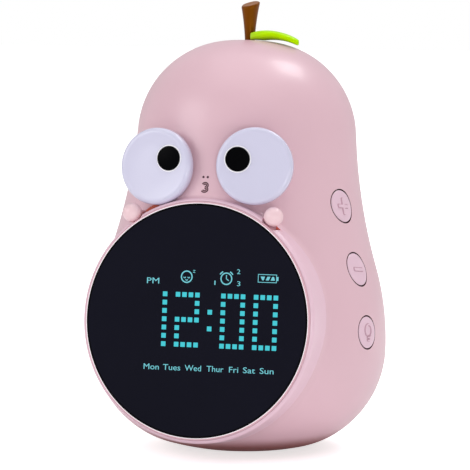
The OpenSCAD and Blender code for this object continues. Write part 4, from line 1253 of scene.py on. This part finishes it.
def build_mouth():
    """Two dots, and two lobes drawn with a dark edge and a paler middle."""
    x, z = MOUTH
    lobes = (oval(x + 0.15, z + 0.72, 0.85, 0.72, 160, -90),
             oval(x + 0.05, z - 0.72, 0.95, 0.72, 90, -155))
    edge = [shell_stroke(path, 1.02) for path in lobes]
    for side in SIDES:
        edge.append(shell_stroke(circle(x + side * 0.8 + 0.05, z + 3.65, 0.2, 12), 0.46, True))
    show("mouth_edge", edge, INK)
    show("mouth_middle", [shell_stroke(path, 0.34, lift=0.07) for path in lobes], PALE_INK)


build_shells()
build_cover_posts()
build_sockets()
for side in SIDES:
    build_eye(side)
    build_hand(side)
build_stem()
build_leaf()
for i in range(len(BUTTON_NAMES)):
    build_button(i)
build_lens()
build_rim()
build_display()
build_mouth()

# ---- Camera and studio ----
CAMERA_TURN = math.radians(19.525)
CAMERA_RISE = math.radians(5.164)
CAMERA_DISTANCE = 1.2
CAMERA_LENS = 253.9
AIM = Vector((-0.0023, -0.0060, 0.0771))
WORLD_LIGHT = 0.57
FLOOR_LIGHT, FLOOR_SEEN = 0.12, 0.66
FLOOR_HALF = 4.0
LIGHT_AIM = Vector((0, 0, 0.07))
LIGHTS = (  # name, direction from the clock, distance, size and power
    ("top_back", (0.33, 0.40, 0.85), 1.5, 0.5, 6.5),
    ("top", (0.0, 0.0, 1.0), 1.5, 1.6, 6.8),
    ("left_front", (-0.65, -0.65, 0.40), 1.5, 0.8, 5.6),
    ("low_right", (0.90, -0.43, 0.0), 0.9, 0.12, 0.75),
    ("low_front", (0.45, -0.89, 0.0), 0.9, 0.12, 0.9),
)


def make_camera():
    """Camera at the angle solved from the photograph's outline."""
    az, el = CAMERA_TURN, CAMERA_RISE
    back = Vector((math.sin(az) * math.cos(el), -math.cos(az) * math.cos(el), math.sin(el)))
    right = Vector((math.cos(az), math.sin(az), 0))
    up = back.cross(right)
    data = bpy.data.cameras.new("camera")
    data.lens = CAMERA_LENS
    data.sensor_width = 36
    camera = link("camera", data)
    turn = Matrix((right, up, back)).transposed().to_4x4()
    camera.matrix_world = Matrix.Translation(AIM + back * CAMERA_DISTANCE) @ turn
    bpy.context.scene.camera = camera


def area_light(name, way, distance, size, power):
    """Square lamp that looks at the clock."""
    data = bpy.data.lights.new(name, "AREA")
    data.size = size
    data.energy = power
    light = link(name, data)
    light.location = LIGHT_AIM + Vector(way) * distance
    light.rotation_euler = (LIGHT_AIM - light.location).to_track_quat("-Z", "Y").to_euler()


def make_world():
    """White for the camera, and softer light for the clock."""
    world = bpy.data.worlds.new("studio")
    world.use_nodes = True
    nodes, links = world.node_tree.nodes, world.node_tree.links
    soft = put(nodes["Background"], Color=(1, 1, 1, 1), Strength=WORLD_LIGHT)
    white = put(nodes.new("ShaderNodeBackground"), Color=(1, 1, 1, 1), Strength=1.0)
    path = nodes.new("ShaderNodeLightPath")
    mix = nodes.new("ShaderNodeMixShader")
    links.new(path.outputs["Is Camera Ray"], mix.inputs["Fac"])
    links.new(soft.outputs["Background"], mix.inputs[1])
    links.new(white.outputs["Background"], mix.inputs[2])
    links.new(mix.outputs["Shader"], nodes["World Output"].inputs["Surface"])
    bpy.context.scene.world = world


def make_floor():
    """Pale floor that shows nearly white to the camera and keeps the clock's shadow."""
    m, nodes, links, shader = new_material("floor")
    put(shader, Base_Color=(0.85, 0.85, 0.85, 1), Roughness=0.12, IOR=1.01, Emission_Color=(1, 1, 1, 1))
    path = nodes.new("ShaderNodeLightPath")
    links.new(ramp(nodes, links, path.outputs["Is Camera Ray"], FLOOR_LIGHT, FLOOR_SEEN),
              shader.inputs["Emission Strength"])
    mesh = bpy.data.meshes.new("floor")
    corners = [(x * FLOOR_HALF, y * FLOOR_HALF, 0) for x, y in ((-1, -1), (1, -1), (1, 1), (-1, 1))]
    mesh.from_pydata(corners, [], [(0, 1, 2, 3)])
    mesh.materials.append(m)
    link("floor", mesh)


make_camera()
make_world()
make_floor()
for light in LIGHTS:
    area_light(*light)
bpy.context.scene.view_settings.view_transform = "Standard"
